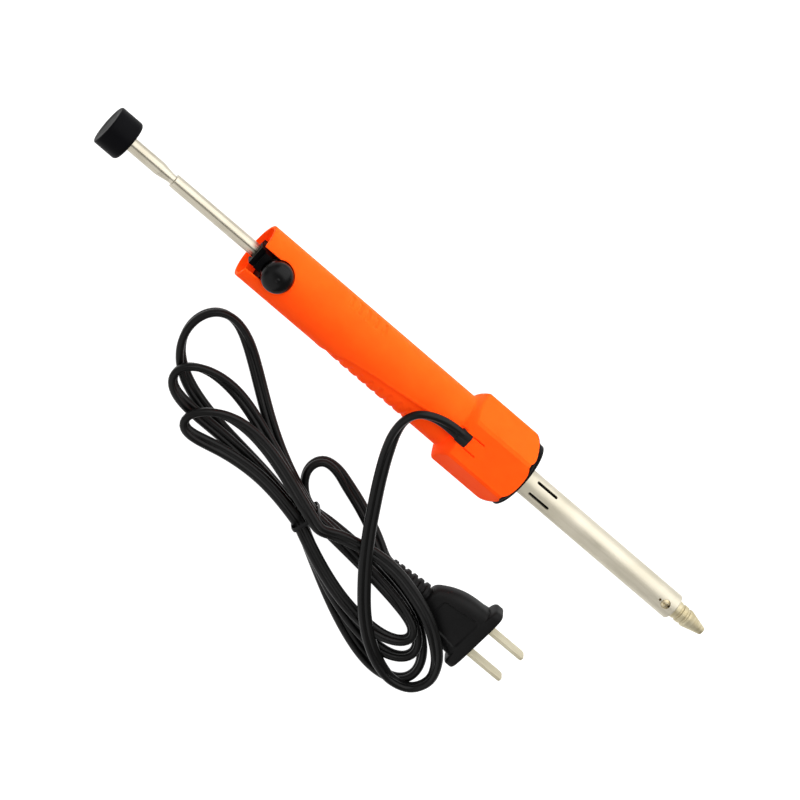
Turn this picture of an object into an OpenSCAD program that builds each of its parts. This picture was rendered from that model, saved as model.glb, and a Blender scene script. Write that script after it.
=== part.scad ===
// Electric desoldering pump: a sprung plunger in a barrel, a heated hollow nozzle
// and a mains lead tied in a hank. Lengths are millimetres.
// +X points to the nozzle, +Z is up, and z = 0 is the surface that the tool rests on.
// The origin is the middle of the collar's bottom flat.

/* [Barrel] */
// Length of the barrel behind the collar
barrel_len = 103; // [100:1:120]
// Outside diameter of the barrel
barrel_d = 24.2; // [23.6:0.1:25]
// Wall of the barrel
barrel_wall = 2; // [1.6:0.1:2.4]
// Length of the barrel that sits inside the collar
barrel_tuck = 12; // [9:0.5:13]
// Bevel on the barrel's rear rim
rim_bevel = 0.5; // [0.2:0.1:0.8]
// Width of the slot that runs forward from the rear rim
slot_w = 11.6; // [10:0.2:12.4]

/* [Grip] */
// Number of cross grooves on the scooped side
grip_count = 8; // [4:1:9]
// Distance from groove to groove
grip_pitch = 4.6; // [4:0.1:5]
// Distance from the collar back to the first groove
grip_from_collar = 18; // [15:1:21]
// Depth of the scoop in the barrel's side
scoop_depth = 0.7; // [0.4:0.1:0.9]
// Length of the scoop
scoop_len = 56; // [46:1:60]
// Radius of the tool that cuts a groove
groove_r = 1.4; // [1:0.1:1.8]
// Depth of a groove
groove_depth = 0.5; // [0.3:0.1:0.6]
// Number of short grooves on the other side
thumb_count = 5; // [3:1:6]
// Distance from short groove to short groove
thumb_pitch = 4.2; // [3.6:0.1:4.6]
// Distance from the collar back to the first short groove
thumb_from_collar = 46; // [40:1:52]
// Length of a short groove
thumb_len = 7; // [5:0.5:9]
// Angle of the short grooves from the top
thumb_angle = 62; // [50:1:75]

/* [Collar] */
// Length of the hexagonal collar
collar_len = 33; // [31:0.5:38]
// Width of the collar across its flats
collar_af = 30.4; // [30:0.1:33]
// Diameter that rounds off the six corners
collar_corner_d = 34; // [32.8:0.1:34.6]
// Length of the collar's sloped rear shoulder
collar_shoulder = 3; // [2:0.2:4]
// Radius of the collar's front edge
collar_nose_r = 3; // [2:0.2:4]
// Thickness of the collar's front wall
collar_front_wall = 4; // [3:0.5:5]
// Diameter of the room for the wires
wire_room_d = 22; // [20.5:0.5:22.5]
// Diameter of the passage through the front wall
front_pass_d = 10; // [9.6:0.1:10.4]
// Length of the cord's notch in the top facet
notch_len = 6; // [5:0.5:8]
// Length of the two slits in front of the notch
slit_len = 5.8; // [3:0.1:7]
// Width of a slit
slit_w = 0.7; // [0.5:0.1:1]
// Distance between the slits
slit_apart = 5.4; // [4.6:0.1:5.8]
// Depth of a slit
slit_depth = 0.9; // [0.5:0.1:1.1]
// Diameter of the heat shield disc
disc_d = 29.8; // [28.8:0.1:30]
// Thickness of the heat shield disc
disc_t = 1.6; // [1.4:0.1:2.4]

/* [Plunger] */
// Diameter of the rod
rod_d = 5.6; // [5.2:0.1:6]
// Bore of the hollow rod
rod_bore = 3; // [2:0.1:3.2]
// Distance from the barrel's rim back to the neck's shoulder
neck_back = 41.2; // [36:0.2:46]
// Diameter at the bottom of the neck
neck_d = 4.4; // [4.1:0.1:4.8]
// Length over which the neck swells to the rod again
neck_taper = 8.2; // [6:0.2:10]
// Distance from the barrel's rim back to the knob's front face
knob_back = 63.2; // [58:0.2:70]
// Diameter of the knob
knob_d = 17; // [15:0.1:20]
// Length of the knob
knob_len = 10.8; // [10:0.1:14]
// Radius of the knob's edges
knob_edge = 1.6; // [0.6:0.1:2]
// Depth of the rod's hole in the knob
knob_socket = 8; // [6:0.5:9]
// Length of the piston
piston_len = 9; // [8:0.5:12]
// Depth of the rod's hole in the piston
piston_socket = 7; // [5:0.5:7.5]
// Width of the piston's ring
ring_w = 2; // [1.6:0.1:2.4]
// Depth of the ring in the piston
ring_depth = 1.6; // [1.2:0.1:2]
// Distance from the piston's front face to its ring
ring_back = 3.5; // [2:0.1:4]
// Wire of the main spring
spring_wire = 1.1; // [0.9:0.1:1.2]
// Mean diameter of the main spring
spring_d = 15; // [13:0.5:16.5]
// Turns of the main spring
spring_turns = 12; // [9:1:14]

/* [Latch] */
// Distance from the barrel's rim to the middle of the button
button_back = 11; // [10:0.1:12]
// Diameter of the button
button_d = 12.7; // [12:0.1:14]
// Height of the button's head
button_h = 6.4; // [5:0.1:8]
// Height of the button's straight side
button_side = 2.2; // [1.5:0.1:3]
// Height of the button's underside above the rod's axis
button_rise = 10.5; // [10:0.1:11.5]
// Travel of the button
button_travel = 2.5; // [2:0.1:2.6]
// Diameter of the button's stem
stem_d = 5; // [4.6:0.1:5.4]
// Height of the stem's end above the rod's axis
stem_rise = 7; // [6.6:0.1:7.4]
// Thickness of the latch plate
plate_t = 1.2; // [1:0.1:1.5]
// Width of the latch plate
plate_w = 8.8; // [8.4:0.1:9]
// Depth of the latch plate below the rod's axis
plate_drop = 5.6; // [5:0.1:6]
// Width of the tongue that fits the stem
tongue_w = 3; // [2.4:0.1:3.4]
// Length of the tongue
tongue_len = 2.4; // [1.8:0.1:3]
// Height of the spring's floor above the rod's axis
floor_rise = 5; // [4.6:0.1:5.4]
// Wire of the button's spring
trigger_wire = 0.5; // [0.4:0.05:0.6]
// Mean diameter of the button's spring
trigger_spring_d = 10.6; // [10.4:0.1:11]
// Turns of the button's spring
trigger_turns = 4; // [3:1:5]
// Distance from the barrel's rim to the rear guide
guide_inset = 2; // [1.4:0.1:3]
// Length of the rear guide
guide_len = 17; // [16:0.5:20]
// Length of the guide's two ears and of the bar between them
ear_len = 2; // [1:0.1:2.6]
// Width of an ear
ear_w = 0.9; // [0.7:0.1:1.6]
// Height of an ear above the rod's axis
ear_h = 7; // [5:0.1:7.5]
// Width of the narrow rear part of the guide
guide_rib_w = 7.4; // [7:0.1:9]
// Length of the narrow rear part of the guide
guide_rib_len = 4.5; // [3:0.1:5]

/* [Suction line] */
// Outside diameter of the suction pipe
pipe_d = 6; // [5.6:0.1:6.2]
// Bore of the suction pipe
pipe_bore = 4; // [3:0.1:4.4]
// Length of the pipe inside the barrel's chamber
pipe_stub = 3; // [1:0.5:6]
// Length of the plug that closes the barrel's front
seat_len = 18; // [15:0.5:22]
// Width of the pipe's seal
seal_w = 2; // [1.6:0.1:2.4]
// Depth of the pipe's seal in the plug
seal_depth = 1.6; // [1.2:0.1:2]

/* [Heater] */
// Length of the steel tube in front of the disc
tube_len = 82; // [76:0.5:92]
// Outside diameter of the steel tube
tube_d = 11; // [10.8:0.1:11.4]
// Wall of the steel tube
tube_wall = 0.5; // [0.4:0.05:0.6]
// Depth of the step that thins the tube inside the disc
tube_step = 0.25; // [0.2:0.01:0.3]
// Diameter of the tube's rear flange
flange_d = 18; // [15:0.5:20]
// Thickness of the tube's rear flange
flange_t = 0.8; // [0.6:0.1:1.2]
// Number of vent slots round the tube
vent_count = 6; // [4:1:8]
// Angle from the top to the first vent slot
vent_turn = 18; // [0:1:30]
// Distance from the disc to the vent slots
vent_from_disc = 5.5; // [3:0.1:7]
// Length of a vent slot
vent_len = 10.4; // [8:0.2:12]
// Width of a vent slot
vent_w = 1.3; // [1:0.1:1.8]
// Length of the heating element
heater_len = 44; // [38:1:46]
// Wall of the former that carries the winding
former_wall = 0.5; // [0.4:0.05:0.55]
// Wire of the winding
winding_wire = 0.5; // [0.4:0.05:0.55]
// Turns of the winding
winding_turns = 14; // [8:1:16]
// Wall of the insulating sleeve
sleeve_wall = 0.5; // [0.4:0.05:0.55]
// Outside diameter of a heater wire
lead_d = 1.2; // [1:0.05:1.3]

/* [Nozzle] */
// Diameter of the nozzle's shank
nozzle_d = 7.5; // [7.2:0.1:7.8]
// Length of the nozzle inside the tube
nozzle_tail = 17.4; // [16.6:0.1:19]
// Length of the straight part in front of the tube
nozzle_straight = 6.4; // [5.5:0.1:8]
// Length of the nozzle's cone
nozzle_cone = 9.3; // [7:0.1:12]
// Diameter of the nozzle's end
nozzle_tip_d = 3.4; // [3:0.1:4]
// Bore at the nozzle's end
nozzle_bore = 1.8; // [1.2:0.1:2.2]
// Depth of the pipe's socket in the nozzle
nozzle_socket = 8; // [6:0.2:8.6]
// Width of a groove round the nozzle
nozzle_groove_w = 0.9; // [0.6:0.1:1.2]
// Depth of a groove round the nozzle
nozzle_groove_depth = 0.5; // [0.3:0.05:0.7]
// Length of the bush that centres the nozzle
bush_len = 10; // [9:0.5:12]
// Distance from the tube's end to the set screw
screw_back = 4.8; // [4.4:0.1:5.8]
// Diameter of the screw's head
screw_head_d = 3.9; // [3.6:0.1:4.2]
// Height of the screw's head
screw_head_h = 1; // [0.8:0.1:1.1]
// Diameter of the screw's thread
screw_d = 2.4; // [2:0.1:2.6]
// Depth of the screw in the nozzle
screw_bite = 1.4; // [1:0.1:1.6]
// Width of the screw's driver slot
driver_w = 0.6; // [0.4:0.1:0.8]
// Depth of the screw's driver slot
driver_depth = 0.5; // [0.3:0.05:0.6]

/* [Cord] */
// Width of the flat twin cord
cord_w = 5.4; // [4.8:0.1:5.6]
// Thickness of the flat twin cord
cord_t = 3.2; // [2.8:0.1:3.3]
// Height of the cord's middle above the barrel at its exit
cord_over_barrel = 2; // [1.8:0.1:2.2]
// Length of the rubber gland in the notch
gland_len = 5; // [4:0.5:7]
// Height of the gland's top above the cord's middle
gland_over = 1.9; // [1.6:0.1:2.2]

/* [Hank] */
// Height from layer to layer of the hank
layer_step = 3.9; // [3.8:0.05:4.3]
// Distance of a strand from the middle of the tied waist
waist_off = 3.1; // [3:0.05:3.4]
// Height by which the tie lifts the waist
tie_lift = 0.8; // [0.7:0.1:1.2]
// Width of the tie
tie_w = 2; // [1.4:0.1:3]
// Thickness of the tie
tie_t = 0.5; // [0.4:0.05:0.6]

/* [Plug] */
// Width of the plug's flange
plug_w = 31; // [28:0.5:33]
// Thickness of the plug
plug_t = 12; // [11:0.5:12.5]
// Length of the plug's flange
plug_flange = 4.5; // [3:0.5:6]
// Length of the plug's body behind its flange
plug_body_len = 23; // [20:0.5:26]
// Width of the body where the strain relief starts
plug_neck_w = 13; // [11:0.5:15]
// Width of the body at its flange
plug_shoulder_w = 27; // [24:0.5:28]
// Length of the ribbed strain relief
relief_len = 19; // [16:0.5:24]
// Number of ribs on the strain relief
relief_ribs = 6; // [4:1:8]
// Diameter of the first rib
relief_d0 = 6.8; // [6.4:0.1:7.4]
// Diameter of the last rib
relief_d1 = 9; // [8:0.1:9.6]
// Depth of the gaps between the ribs
relief_depth = 1; // [0.6:0.1:1.2]
// Distance between the middles of the blades
blade_apart = 12.7; // [12:0.1:13.4]
// Length of a blade in front of the plug
blade_len = 18.3; // [15.5:0.1:18.5]
// Length of a blade inside the plug
blade_root = 8; // [6:0.5:10]
// Width of a blade
blade_w = 6.3; // [6:0.1:6.6]
// Thickness of a blade
blade_t = 1.5; // [1.3:0.1:1.7]
// Depth of the recessed panel of the plug
panel_depth = 0.5; // [0.3:0.1:0.8]
// Angle by which the plug lies tilted on the edge of its flange
plug_roll = 8; // [4:1:10]

/* [Fits] */
// Radial clearance of a running fit
run_clear = 0.06; // [0.03:0.01:0.09]
// Radial clearance of a fixed fit
fit_clear = 0.04; // [0.02:0.01:0.06]
// Clearance round the button and its plate
button_clear = 0.3; // [0.2:0.05:0.4]
// Gap between pieces that stop against each other
stop_gap = 0.3; // [0.2:0.05:0.4]

/* [Hidden] */
$fn = 64;

orange = "#ff5a14";
black = "#1c1c1e";
steel = "#cfc9bd";
cream = "#d8cfb4";

// Places along the tool's axis
axis_h = collar_af / 2;
collar_x0 = -collar_len / 2;
collar_x1 = collar_len / 2;
barrel_x0 = collar_x0 - barrel_len;
barrel_x1 = collar_x0 + barrel_tuck;
barrel_r = barrel_d / 2;
bore_r = barrel_r - barrel_wall;
button_x = barrel_x0 + button_back;
guide_x0 = barrel_x0 + guide_inset;
guide_x1 = guide_x0 + guide_len;
knob_x1 = barrel_x0 - knob_back;
neck_x = barrel_x0 - neck_back;
piston_x0 = guide_x1 + stop_gap;
piston_x1 = piston_x0 + piston_len;
seat_x0 = barrel_x1 - seat_len;
seal_x = seat_x0 + (seat_len - seal_w) / 2;
disc_x1 = collar_x1 + disc_t;
tube_x1 = disc_x1 + tube_len;
nozzle_x0 = tube_x1 - nozzle_tail;
pipe_x0 = seat_x0 - pipe_stub;
pipe_x1 = nozzle_x0 + nozzle_socket;
screw_x = tube_x1 - screw_back;
heater_x1 = nozzle_x0 - stop_gap;
heater_x0 = heater_x1 - heater_len;

// The scoop for the fingers
scoop_r = (scoop_len * scoop_len / 4 + scoop_depth * scoop_depth) / (2 * scoop_depth);
scoop_mid = collar_x0 - grip_from_collar - (grip_count - 1) * grip_pitch / 2;

// Radii
tube_r = tube_d / 2;
screw_top = sqrt(tube_r * tube_r - screw_head_d * screw_head_d / 4);
screw_floor = screw_top - screw_head_h;
tube_bore_r = tube_r - tube_wall;
pipe_r = pipe_d / 2;
former_r = pipe_r + fit_clear + former_wall;
curl_rings = 8;
winding_r = (former_r + fit_clear + winding_wire / 2) / cos(180 / curl_rings);
sleeve_r = tube_bore_r - fit_clear;
seat_d = button_d + 2 * button_clear;
hole_half = rod_d / 2 + run_clear;
lead_r = pipe_r + (tube_bore_r - pipe_r) / 2;

// The cord's places
notch_w = cord_w + 1;
notch_x1 = collar_x0 + notch_len;
exit_x = notch_x1 - gland_len;
exit_z = axis_h + barrel_r + cord_over_barrel;
gland_z0 = axis_h + barrel_r + stop_gap;
wire_tunnel_w = 2 * (slit_apart / 2 - slit_w);
wire_tunnel_top = axis_h + barrel_r + cord_over_barrel;
plug_edge = plug_t / 4;
plug_y = -62.6;
plug_z = (plug_w / 2 - plug_edge) * sin(plug_roll) + (plug_t / 2 - plug_edge) * cos(plug_roll) + plug_edge;
relief_x0 = 7.5;
relief_x1 = relief_x0 + relief_len;
plug_x1 = relief_x1 + plug_body_len;
plug_face_x = plug_x1 + plug_flange;

// The hank: loops are listed in laying order, from the lead's end on top to the tail's end underneath.
hank_at = [-31.4, -69.2];
hank_turn = 165;
loops = 3;
loop_rings = 24;
cord_sides = 6;
upper_len = [63, 78, 90];
upper_half = [7.2, 8.6, 13.8];
upper_fan = [-14.4, -6.4, 7.2];
lower_len = [64.4, 71.8, 81];
lower_half = [7.8, 10, 12.8];
lower_fan = [6.6, 2.7, -2.1];
// How the strands part from the waist: the higher the power, the later the loop opens
upper_power = 2;
lower_power = 1;
settle_run = 55;
lift_run = 25;
gap_steps = 4;
gap_apart = 25;

// Free stretches of the cord, chosen by hand, between the computed ends
lead_mid = [
    [-28, -1.3, 30.2], [-32.8, -3.9, 30.6], [-34.8, -8.6, 29.8], [-33.9, -15.1, 27.6],
    [-30.2, -23.8, 25], [-24.5, -34.2, 22.6], [-17.9, -44.9, 20.6], [-11.2, -55.3, 19.4],
    [-4, -65.2, 18.6], [4.1, -74.9, 17], [12.3, -83.3, 15], [21.5, -90.4, 12.6], [31.4, -95.5, 9.8],
    [41, -97.6, 7.2], [48.5, -95.4, 6], [51.3, -89, 7.2], [48.1, -80.8, 10.6], [40.3, -73.1, 14.2],
    [30.4, -67.1, 15.4], [19.6, -63.4, 15.4], [8.6, -61.1, 15.2], [-1.3, -61.1, 15], [-9.1, -62.5, 14.8],
    [-16, -64.3, 14.5], [-21.2, -66.3, 14.2]
];
tail_mid = [
    [-36.8, -63.4, 2.1], [-40, -60.2, 1.9], [-42.3, -56.4, 1.8], [-42.6, -52.4, 1.8],
    [-40.3, -48.5, 1.8], [-34.8, -47.8, 1.8], [-26, -50.2, 1.8], [-16.8, -53.1, 2.2], [-8.9, -56.1, 3.4],
    [-2.8, -58.8, 5.2], [1.8, -61.2, 6.9]
];

// Vectors and easing
function unit(v) = v / norm(v);
function clamp01(t) = max(0, min(1, t));
function ease(t) = let(c = clamp01(t)) c * c * (3 - 2 * c);
function last(v) = v[len(v) - 1];

// One point of a loop: along the hank, across it, and up. At angle 0 a strand passes the waist
// on its way up the hank, at 90 it turns at the upper end, at 180 it passes the waist again
// and at 270 it turns at the lower end.
function loop_point(k, a) =
    let(up = a <= 180, rank = loops - 1 - k, s = sin(a), c = cos(a))
    let(reach = up ? upper_len[k] : lower_len[k], half = up ? upper_half[k] : lower_half[k])
    let(fan = (up ? upper_fan[k] : -lower_fan[k]) * s * s)
    let(power = up ? upper_power : lower_power, widest = atan(sqrt(power)))
    let(swell = (half - waist_off * cos(widest)) / (pow(sin(widest), power) * cos(widest)))
    let(along = reach * s, across = (waist_off + swell * pow(abs(s), power)) * c)
    let(settle = a < 90 ? ease(1 - pow(along / settle_run, 2)) : 0)
    let(lift = tie_lift * ease(1 - pow(along / lift_run, 2)))
    [
        along * cos(fan) - across * sin(fan),
        along * sin(fan) + across * cos(fan),
        cord_t / 2 + lift + layer_step * (rank + settle)
    ];

// From the hank's own axes to the frame
function from_hank(p) = [
    hank_at[0] + p[0] * cos(hank_turn) + p[1] * sin(hank_turn),
    hank_at[1] + p[0] * sin(hank_turn) - p[1] * cos(hank_turn),
    p[2]
];
waist_z = cord_t / 2 + tie_lift;
waist_top = waist_z + loops * layer_step;
hank_local = concat(
    [[-cord_w, waist_off, waist_top]],
    [for (k = [0 : loops - 1], i = [0 : loop_rings - 1]) loop_point(k, i * 360 / loop_rings)],
    [[0, waist_off, waist_z], [cord_w / 2, waist_off, waist_z]]
);
hank_path = [for (p = hank_local) from_hank(p)];

// The whole cord: its free stretches leave the collar and enter the plug straight
lead_run = concat([[exit_x, 0, exit_z], [exit_x - cord_w, 0, exit_z]], lead_mid);
tail_run = concat(tail_mid, [[relief_x0 - cord_w / 2, plug_y, plug_z], [relief_x0, plug_y, plug_z]]);
cord_path = concat(lead_run, hank_path, tail_run);
hank_from = len(lead_run);
hank_to = hank_from + len(hank_path) - 1;
cord_end = len(cord_path) - 1;

// A tube along a path, with an oval section: side is the section's wide way at each point
function tangent(p, i) = unit(p[min(i + 1, len(p) - 1)] - p[max(i - 1, 0)]);
function level_sides(p) = [for (i = [0 : len(p) - 1]) unit(cross(tangent(p, i), [0, 0, 1]))];
function ring(p, i, side, n, a, b) =
    let(up = cross(side, tangent(p, i)))
    [for (j = [0 : n - 1]) p[i] + a * cos(j * 360 / n) * side + b * sin(j * 360 / n) * up];
function tube_faces(m, n) = concat(
    [for (j = [1 : n - 2]) [0, j + 1, j]],
    [for (i = [0 : m - 2], j = [0 : n - 1]) [i * n + j, i * n + (j + 1) % n, (i + 1) * n + (j + 1) % n]],
    [for (i = [0 : m - 2], j = [0 : n - 1]) [i * n + j, (i + 1) * n + (j + 1) % n, (i + 1) * n + j]],
    [for (j = [1 : n - 2]) [(m - 1) * n, (m - 1) * n + j, (m - 1) * n + j + 1]]
);
module sweep(p, sides, n, a, b, from, to) {
    points = [for (i = [from : to]) each ring(p, i, sides[i], n, a, b)];
    polyhedron(points, tube_faces(to - from + 1, n), convexity = 10);
}

// A stretch of the cord: neighbouring stretches meet in the plane of one ring
module cord(n, from, to) {
    color(black) sweep(cord_path, level_sides(cord_path), n, cord_w / 2, cord_t / 2, from, to);
}

// A coil spring along +Z from height 0, with its wire's middle on radius r
module coil(r, wire, turns, height) {
    count = turns * curl_rings;
    rise = height - wire;
    p = [
        for (i = [0 : count])
        [r * cos(i * 360 / curl_rings), r * sin(i * 360 / curl_rings), wire / 2 + rise * i / count]
    ];
    radial = [for (i = [0 : count]) [cos(i * 360 / curl_rings), sin(i * 360 / curl_rings), 0]];
    sweep(p, radial, 6, wire / 2, wire / 2, 0, count);
}

// The cord's least gap to itself: the distance between two points less the section's reach towards each other
function between(p, q, m) = [for (i = [0 : m - 1]) p + (q - p) * i / m];
function fine(p, m) = concat([for (i = [0 : len(p) - 2]) each between(p[i], p[i + 1], m)], [last(p)]);
function run_lengths(p) = [
    for (i = 0, s = 0; i < len(p); s = s + (i + 1 < len(p) ? norm(p[i + 1] - p[i]) : 0), i = i + 1) s
];
function reach_to(d, side, up) = norm([cord_w / 2 * (d * side), cord_t / 2 * (d * up)]);
function least_gap(p) =
    let(s = run_lengths(p), sides = level_sides(p))
    let(ups = [for (i = [0 : len(p) - 1]) cross(sides[i], tangent(p, i))])
    min([
        for (i = [0 : len(p) - 1], j = [i + 1 : 1 : len(p) - 1]) if (s[j] - s[i] > gap_apart)
            let(v = p[j] - p[i], d = unit(v))
            norm(v) - reach_to(d, sides[i], ups[i]) - reach_to(d, sides[j], ups[j])
    ]);

// Shapes on the tool's axis
module on_axis(x) {
    translate([x, 0, axis_h]) rotate([0, 90, 0]) children();
}
module turned(x, profile) {
    on_axis(x) rotate_extrude() polygon(profile);
}
module sleeve(x, r0, r1, h) {
    turned(x, [[r0, 0], [r1, 0], [r1, h], [r0, h]]);
}
// A quarter arc in a profile, from angle a0 to a1 round a centre
function arc(cx, cy, r, a0, a1, n = 8) = [
    for (i = [0 : n]) let(a = a0 + (a1 - a0) * i / n) [cx + r * cos(a), cy + r * sin(a)]
];

// How deep the scoop lies below the barrel's side, at a distance from its middle
function scoop_at(d) = scoop_depth - scoop_r + sqrt(scoop_r * scoop_r - d * d);

module barrel() {
    length = barrel_len + barrel_tuck;
    color(orange) difference() {
        turned(barrel_x0, [
            [bore_r, 0], [barrel_r - rim_bevel, 0], [barrel_r, rim_bevel], [barrel_r, length],
            [bore_r, length]
        ]);
        translate([barrel_x0 - 1, -slot_w / 2, axis_h]) cube([button_back + 1, slot_w, barrel_d]);
        translate([button_x, 0, axis_h]) cylinder(d = seat_d, h = barrel_d);
        translate([scoop_mid, scoop_depth - barrel_r - scoop_r, 0])
            cylinder(r = scoop_r, h = 2 * barrel_d, $fn = 128);
        for (i = [0 : grip_count - 1]) {
            off = (i - (grip_count - 1) / 2) * grip_pitch;
            translate([scoop_mid - off, scoop_at(off) + groove_depth - barrel_r - groove_r, 0])
                cylinder(r = groove_r, h = 2 * barrel_d);
        }
        for (i = [0 : thumb_count - 1])
            translate([collar_x0 - thumb_from_collar - i * thumb_pitch, 0, axis_h])
                rotate([-thumb_angle, 0, 0])
                    translate([0, thumb_len / 2, barrel_r + groove_r - groove_depth]) rotate([90, 0, 0])
                        cylinder(r = groove_r, h = thumb_len);
    }
}

module collar() {
    corner_r = collar_corner_d / 2;
    nose = collar_nose_r;
    color(orange) difference() {
        intersection() {
            on_axis(collar_x0) rotate([0, 0, 30]) cylinder(d = collar_af / cos(30), h = collar_len, $fn = 6);
            turned(collar_x0, concat(
                [[0, 0], [barrel_r + rim_bevel, 0], [corner_r, collar_shoulder]],
                arc(corner_r - nose, collar_len - nose, nose, 0, 90),
                [[0, collar_len]]
            ));
        }
        on_axis(collar_x0 - 1) cylinder(r = barrel_r + fit_clear, h = barrel_tuck + 1);
        on_axis(collar_x0) cylinder(d = wire_room_d, h = collar_len - collar_front_wall);
        on_axis(collar_x0) cylinder(d = front_pass_d, h = collar_len + 1);
        translate([collar_x0 - 1, -notch_w / 2, axis_h + bore_r]) cube([notch_len + 1, notch_w, collar_af]);
        translate([collar_x0 + 1, -wire_tunnel_w / 2, axis_h])
            cube([barrel_tuck + lead_d + 3, wire_tunnel_w, wire_tunnel_top - axis_h]);
        for (side = [-1, 1])
            translate([notch_x1 - slit_w, side * slit_apart / 2 - slit_w / 2, collar_af - slit_depth])
                cube([slit_len + slit_w, slit_w, 2 * slit_depth]);
    }
}

module front_disc() {
    edge = disc_t / 4;
    disc_r = disc_d / 2;
    color(black) difference() {
        turned(collar_x1, concat(
            [[0, 0], [disc_r, 0]],
            arc(disc_r - edge, disc_t - edge, edge, 0, 90),
            [[0, disc_t]]
        ));
        on_axis(collar_x1 - 1) cylinder(r = tube_r + fit_clear, h = disc_t + 2);
        on_axis(collar_x1 - 1) cylinder(r = flange_d / 2 + fit_clear, h = flange_t + fit_clear + 1);
    }
}

module rear_guide() {
    guide_r = bore_r - fit_clear;
    ear_y = rod_d / 2 + button_clear;
    bar_half = ear_y + ear_w;
    slot_half = plate_t / 2 + button_clear;
    drop = plate_drop + button_travel + button_clear;
    color(black) difference() {
        union() {
            on_axis(guide_x0) cylinder(r = guide_r, h = guide_len);
            for (side = [-1, 1])
                translate([guide_x0 - ear_len, side > 0 ? ear_y : -ear_y - ear_w, axis_h])
                    cube([ear_len, ear_w, ear_h]);
            translate([guide_x0 - ear_len, -bar_half, axis_h + ear_y])
                cube([ear_len, 2 * bar_half, ear_h - ear_y]);
        }
        on_axis(guide_x0 - 1) cylinder(r = rod_d / 2 + run_clear, h = guide_len + 2);
        translate([button_x, 0, axis_h + floor_rise]) cylinder(d = seat_d, h = barrel_d);
        translate([button_x, 0, axis_h]) cylinder(d = stem_d + 2 * button_clear, h = barrel_d);
        translate([button_x - slot_half, -plate_w / 2 - button_clear, axis_h - drop])
            cube([2 * slot_half, plate_w + 2 * button_clear, drop + barrel_d]);
        for (side = [-1, 1])
            translate([guide_x0, side * (guide_rib_w + barrel_d) / 2 - barrel_d / 2, 0])
                cube([guide_rib_len, barrel_d, 2 * barrel_d]);
    }
}

module trigger_button() {
    r = button_d / 2;
    point_r = r / 4;
    side_h = button_side;
    shoulder = (button_h - side_h) * 0.85;
    color(black) translate([button_x, 0, axis_h + button_rise]) difference() {
        union() {
            rotate_extrude() polygon(concat(
                [[0, 0], [r, 0], [r, side_h]],
                [for (a = [11.25 : 11.25 : 78.75])
                    [point_r + (r - point_r) * cos(a), side_h + shoulder * sin(a)]],
                [[point_r, side_h + shoulder], [point_r / 2, button_h], [0, button_h]]
            ));
            translate([0, 0, stem_rise - button_rise]) cylinder(d = stem_d, h = button_rise - stem_rise);
        }
        translate([-plate_t / 2, -tongue_w / 2, stem_rise - button_rise - 1])
            cube([plate_t, tongue_w, tongue_len + 1]);
    }
}

module latch_plate() {
    hole_top = rod_d / 2 + button_travel + run_clear;
    color(steel) translate([button_x - plate_t / 2, 0, axis_h]) rotate([90, 0, 90])
        linear_extrude(plate_t) difference() {
            union() {
                translate([-plate_w / 2, -plate_drop]) square([plate_w, plate_drop + stem_rise]);
                translate([-tongue_w / 2, stem_rise - 1]) square([tongue_w, tongue_len + 1]);
            }
            circle(r = hole_half);
            translate([-hole_half, 0]) square([2 * hole_half, hole_top - hole_half]);
            translate([0, hole_top - hole_half]) circle(r = hole_half);
        }
}

module trigger_spring() {
    color(steel) translate([button_x, 0, axis_h + floor_rise])
        coil(trigger_spring_d / 2, trigger_wire, trigger_turns, button_rise - floor_rise);
}

module plunger_knob() {
    r = knob_d / 2;
    e = knob_edge;
    color(black) difference() {
        turned(knob_x1 - knob_len, concat(
            [[0, 0]], arc(r - e, e, e, -90, 0), arc(r - e, knob_len - e, e, 0, 90), [[0, knob_len]]
        ));
        on_axis(knob_x1 - knob_socket) cylinder(r = rod_d / 2 + fit_clear, h = knob_socket + 1);
    }
}

module plunger_rod() {
    x0 = knob_x1 - knob_socket;
    r = rod_d / 2;
    total = piston_x0 + piston_socket - x0;
    shoulder = neck_x - x0;
    color(steel) turned(x0, [
        [rod_bore / 2, 0], [r, 0], [r, shoulder - neck_taper], [neck_d / 2, shoulder], [r, shoulder],
        [r, total], [rod_bore / 2, total]
    ]);
}

module piston() {
    r = bore_r - run_clear;
    groove = r - ring_depth;
    z1 = piston_len - ring_back;
    z0 = z1 - ring_w;
    color(black) difference() {
        turned(piston_x0, [
            [0, 0], [r, 0], [r, z0], [groove, z0], [groove, z1], [r, z1], [r, piston_len], [0, piston_len]
        ]);
        on_axis(piston_x0 - 1) cylinder(r = rod_d / 2 + fit_clear, h = piston_socket + 1);
    }
}

module piston_ring() {
    gap = fit_clear;
    x0 = piston_x1 - ring_back - ring_w + gap;
    r0 = bore_r - run_clear - ring_depth + gap;
    color("dimgray") sleeve(x0, r0, bore_r - run_clear / 2, ring_w - 2 * gap);
}

module main_spring() {
    color(steel) on_axis(piston_x1) coil(spring_d / 2, spring_wire, spring_turns, seat_x0 - piston_x1);
}

module chamber_plug() {
    color(black) difference() {
        on_axis(seat_x0) cylinder(r = bore_r - fit_clear, h = seat_len);
        on_axis(seat_x0 - 1) cylinder(r = pipe_r + fit_clear, h = seat_len + 2);
        on_axis(seal_x - fit_clear) cylinder(r = pipe_r + seal_depth, h = seal_w + 2 * fit_clear);
    }
}

module pipe_seal() {
    color("dimgray") sleeve(seal_x, pipe_r + fit_clear / 2, pipe_r + seal_depth - fit_clear, seal_w);
}

module suction_pipe() {
    color(steel) sleeve(pipe_x0, pipe_bore / 2, pipe_r, pipe_x1 - pipe_x0);
}

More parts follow.
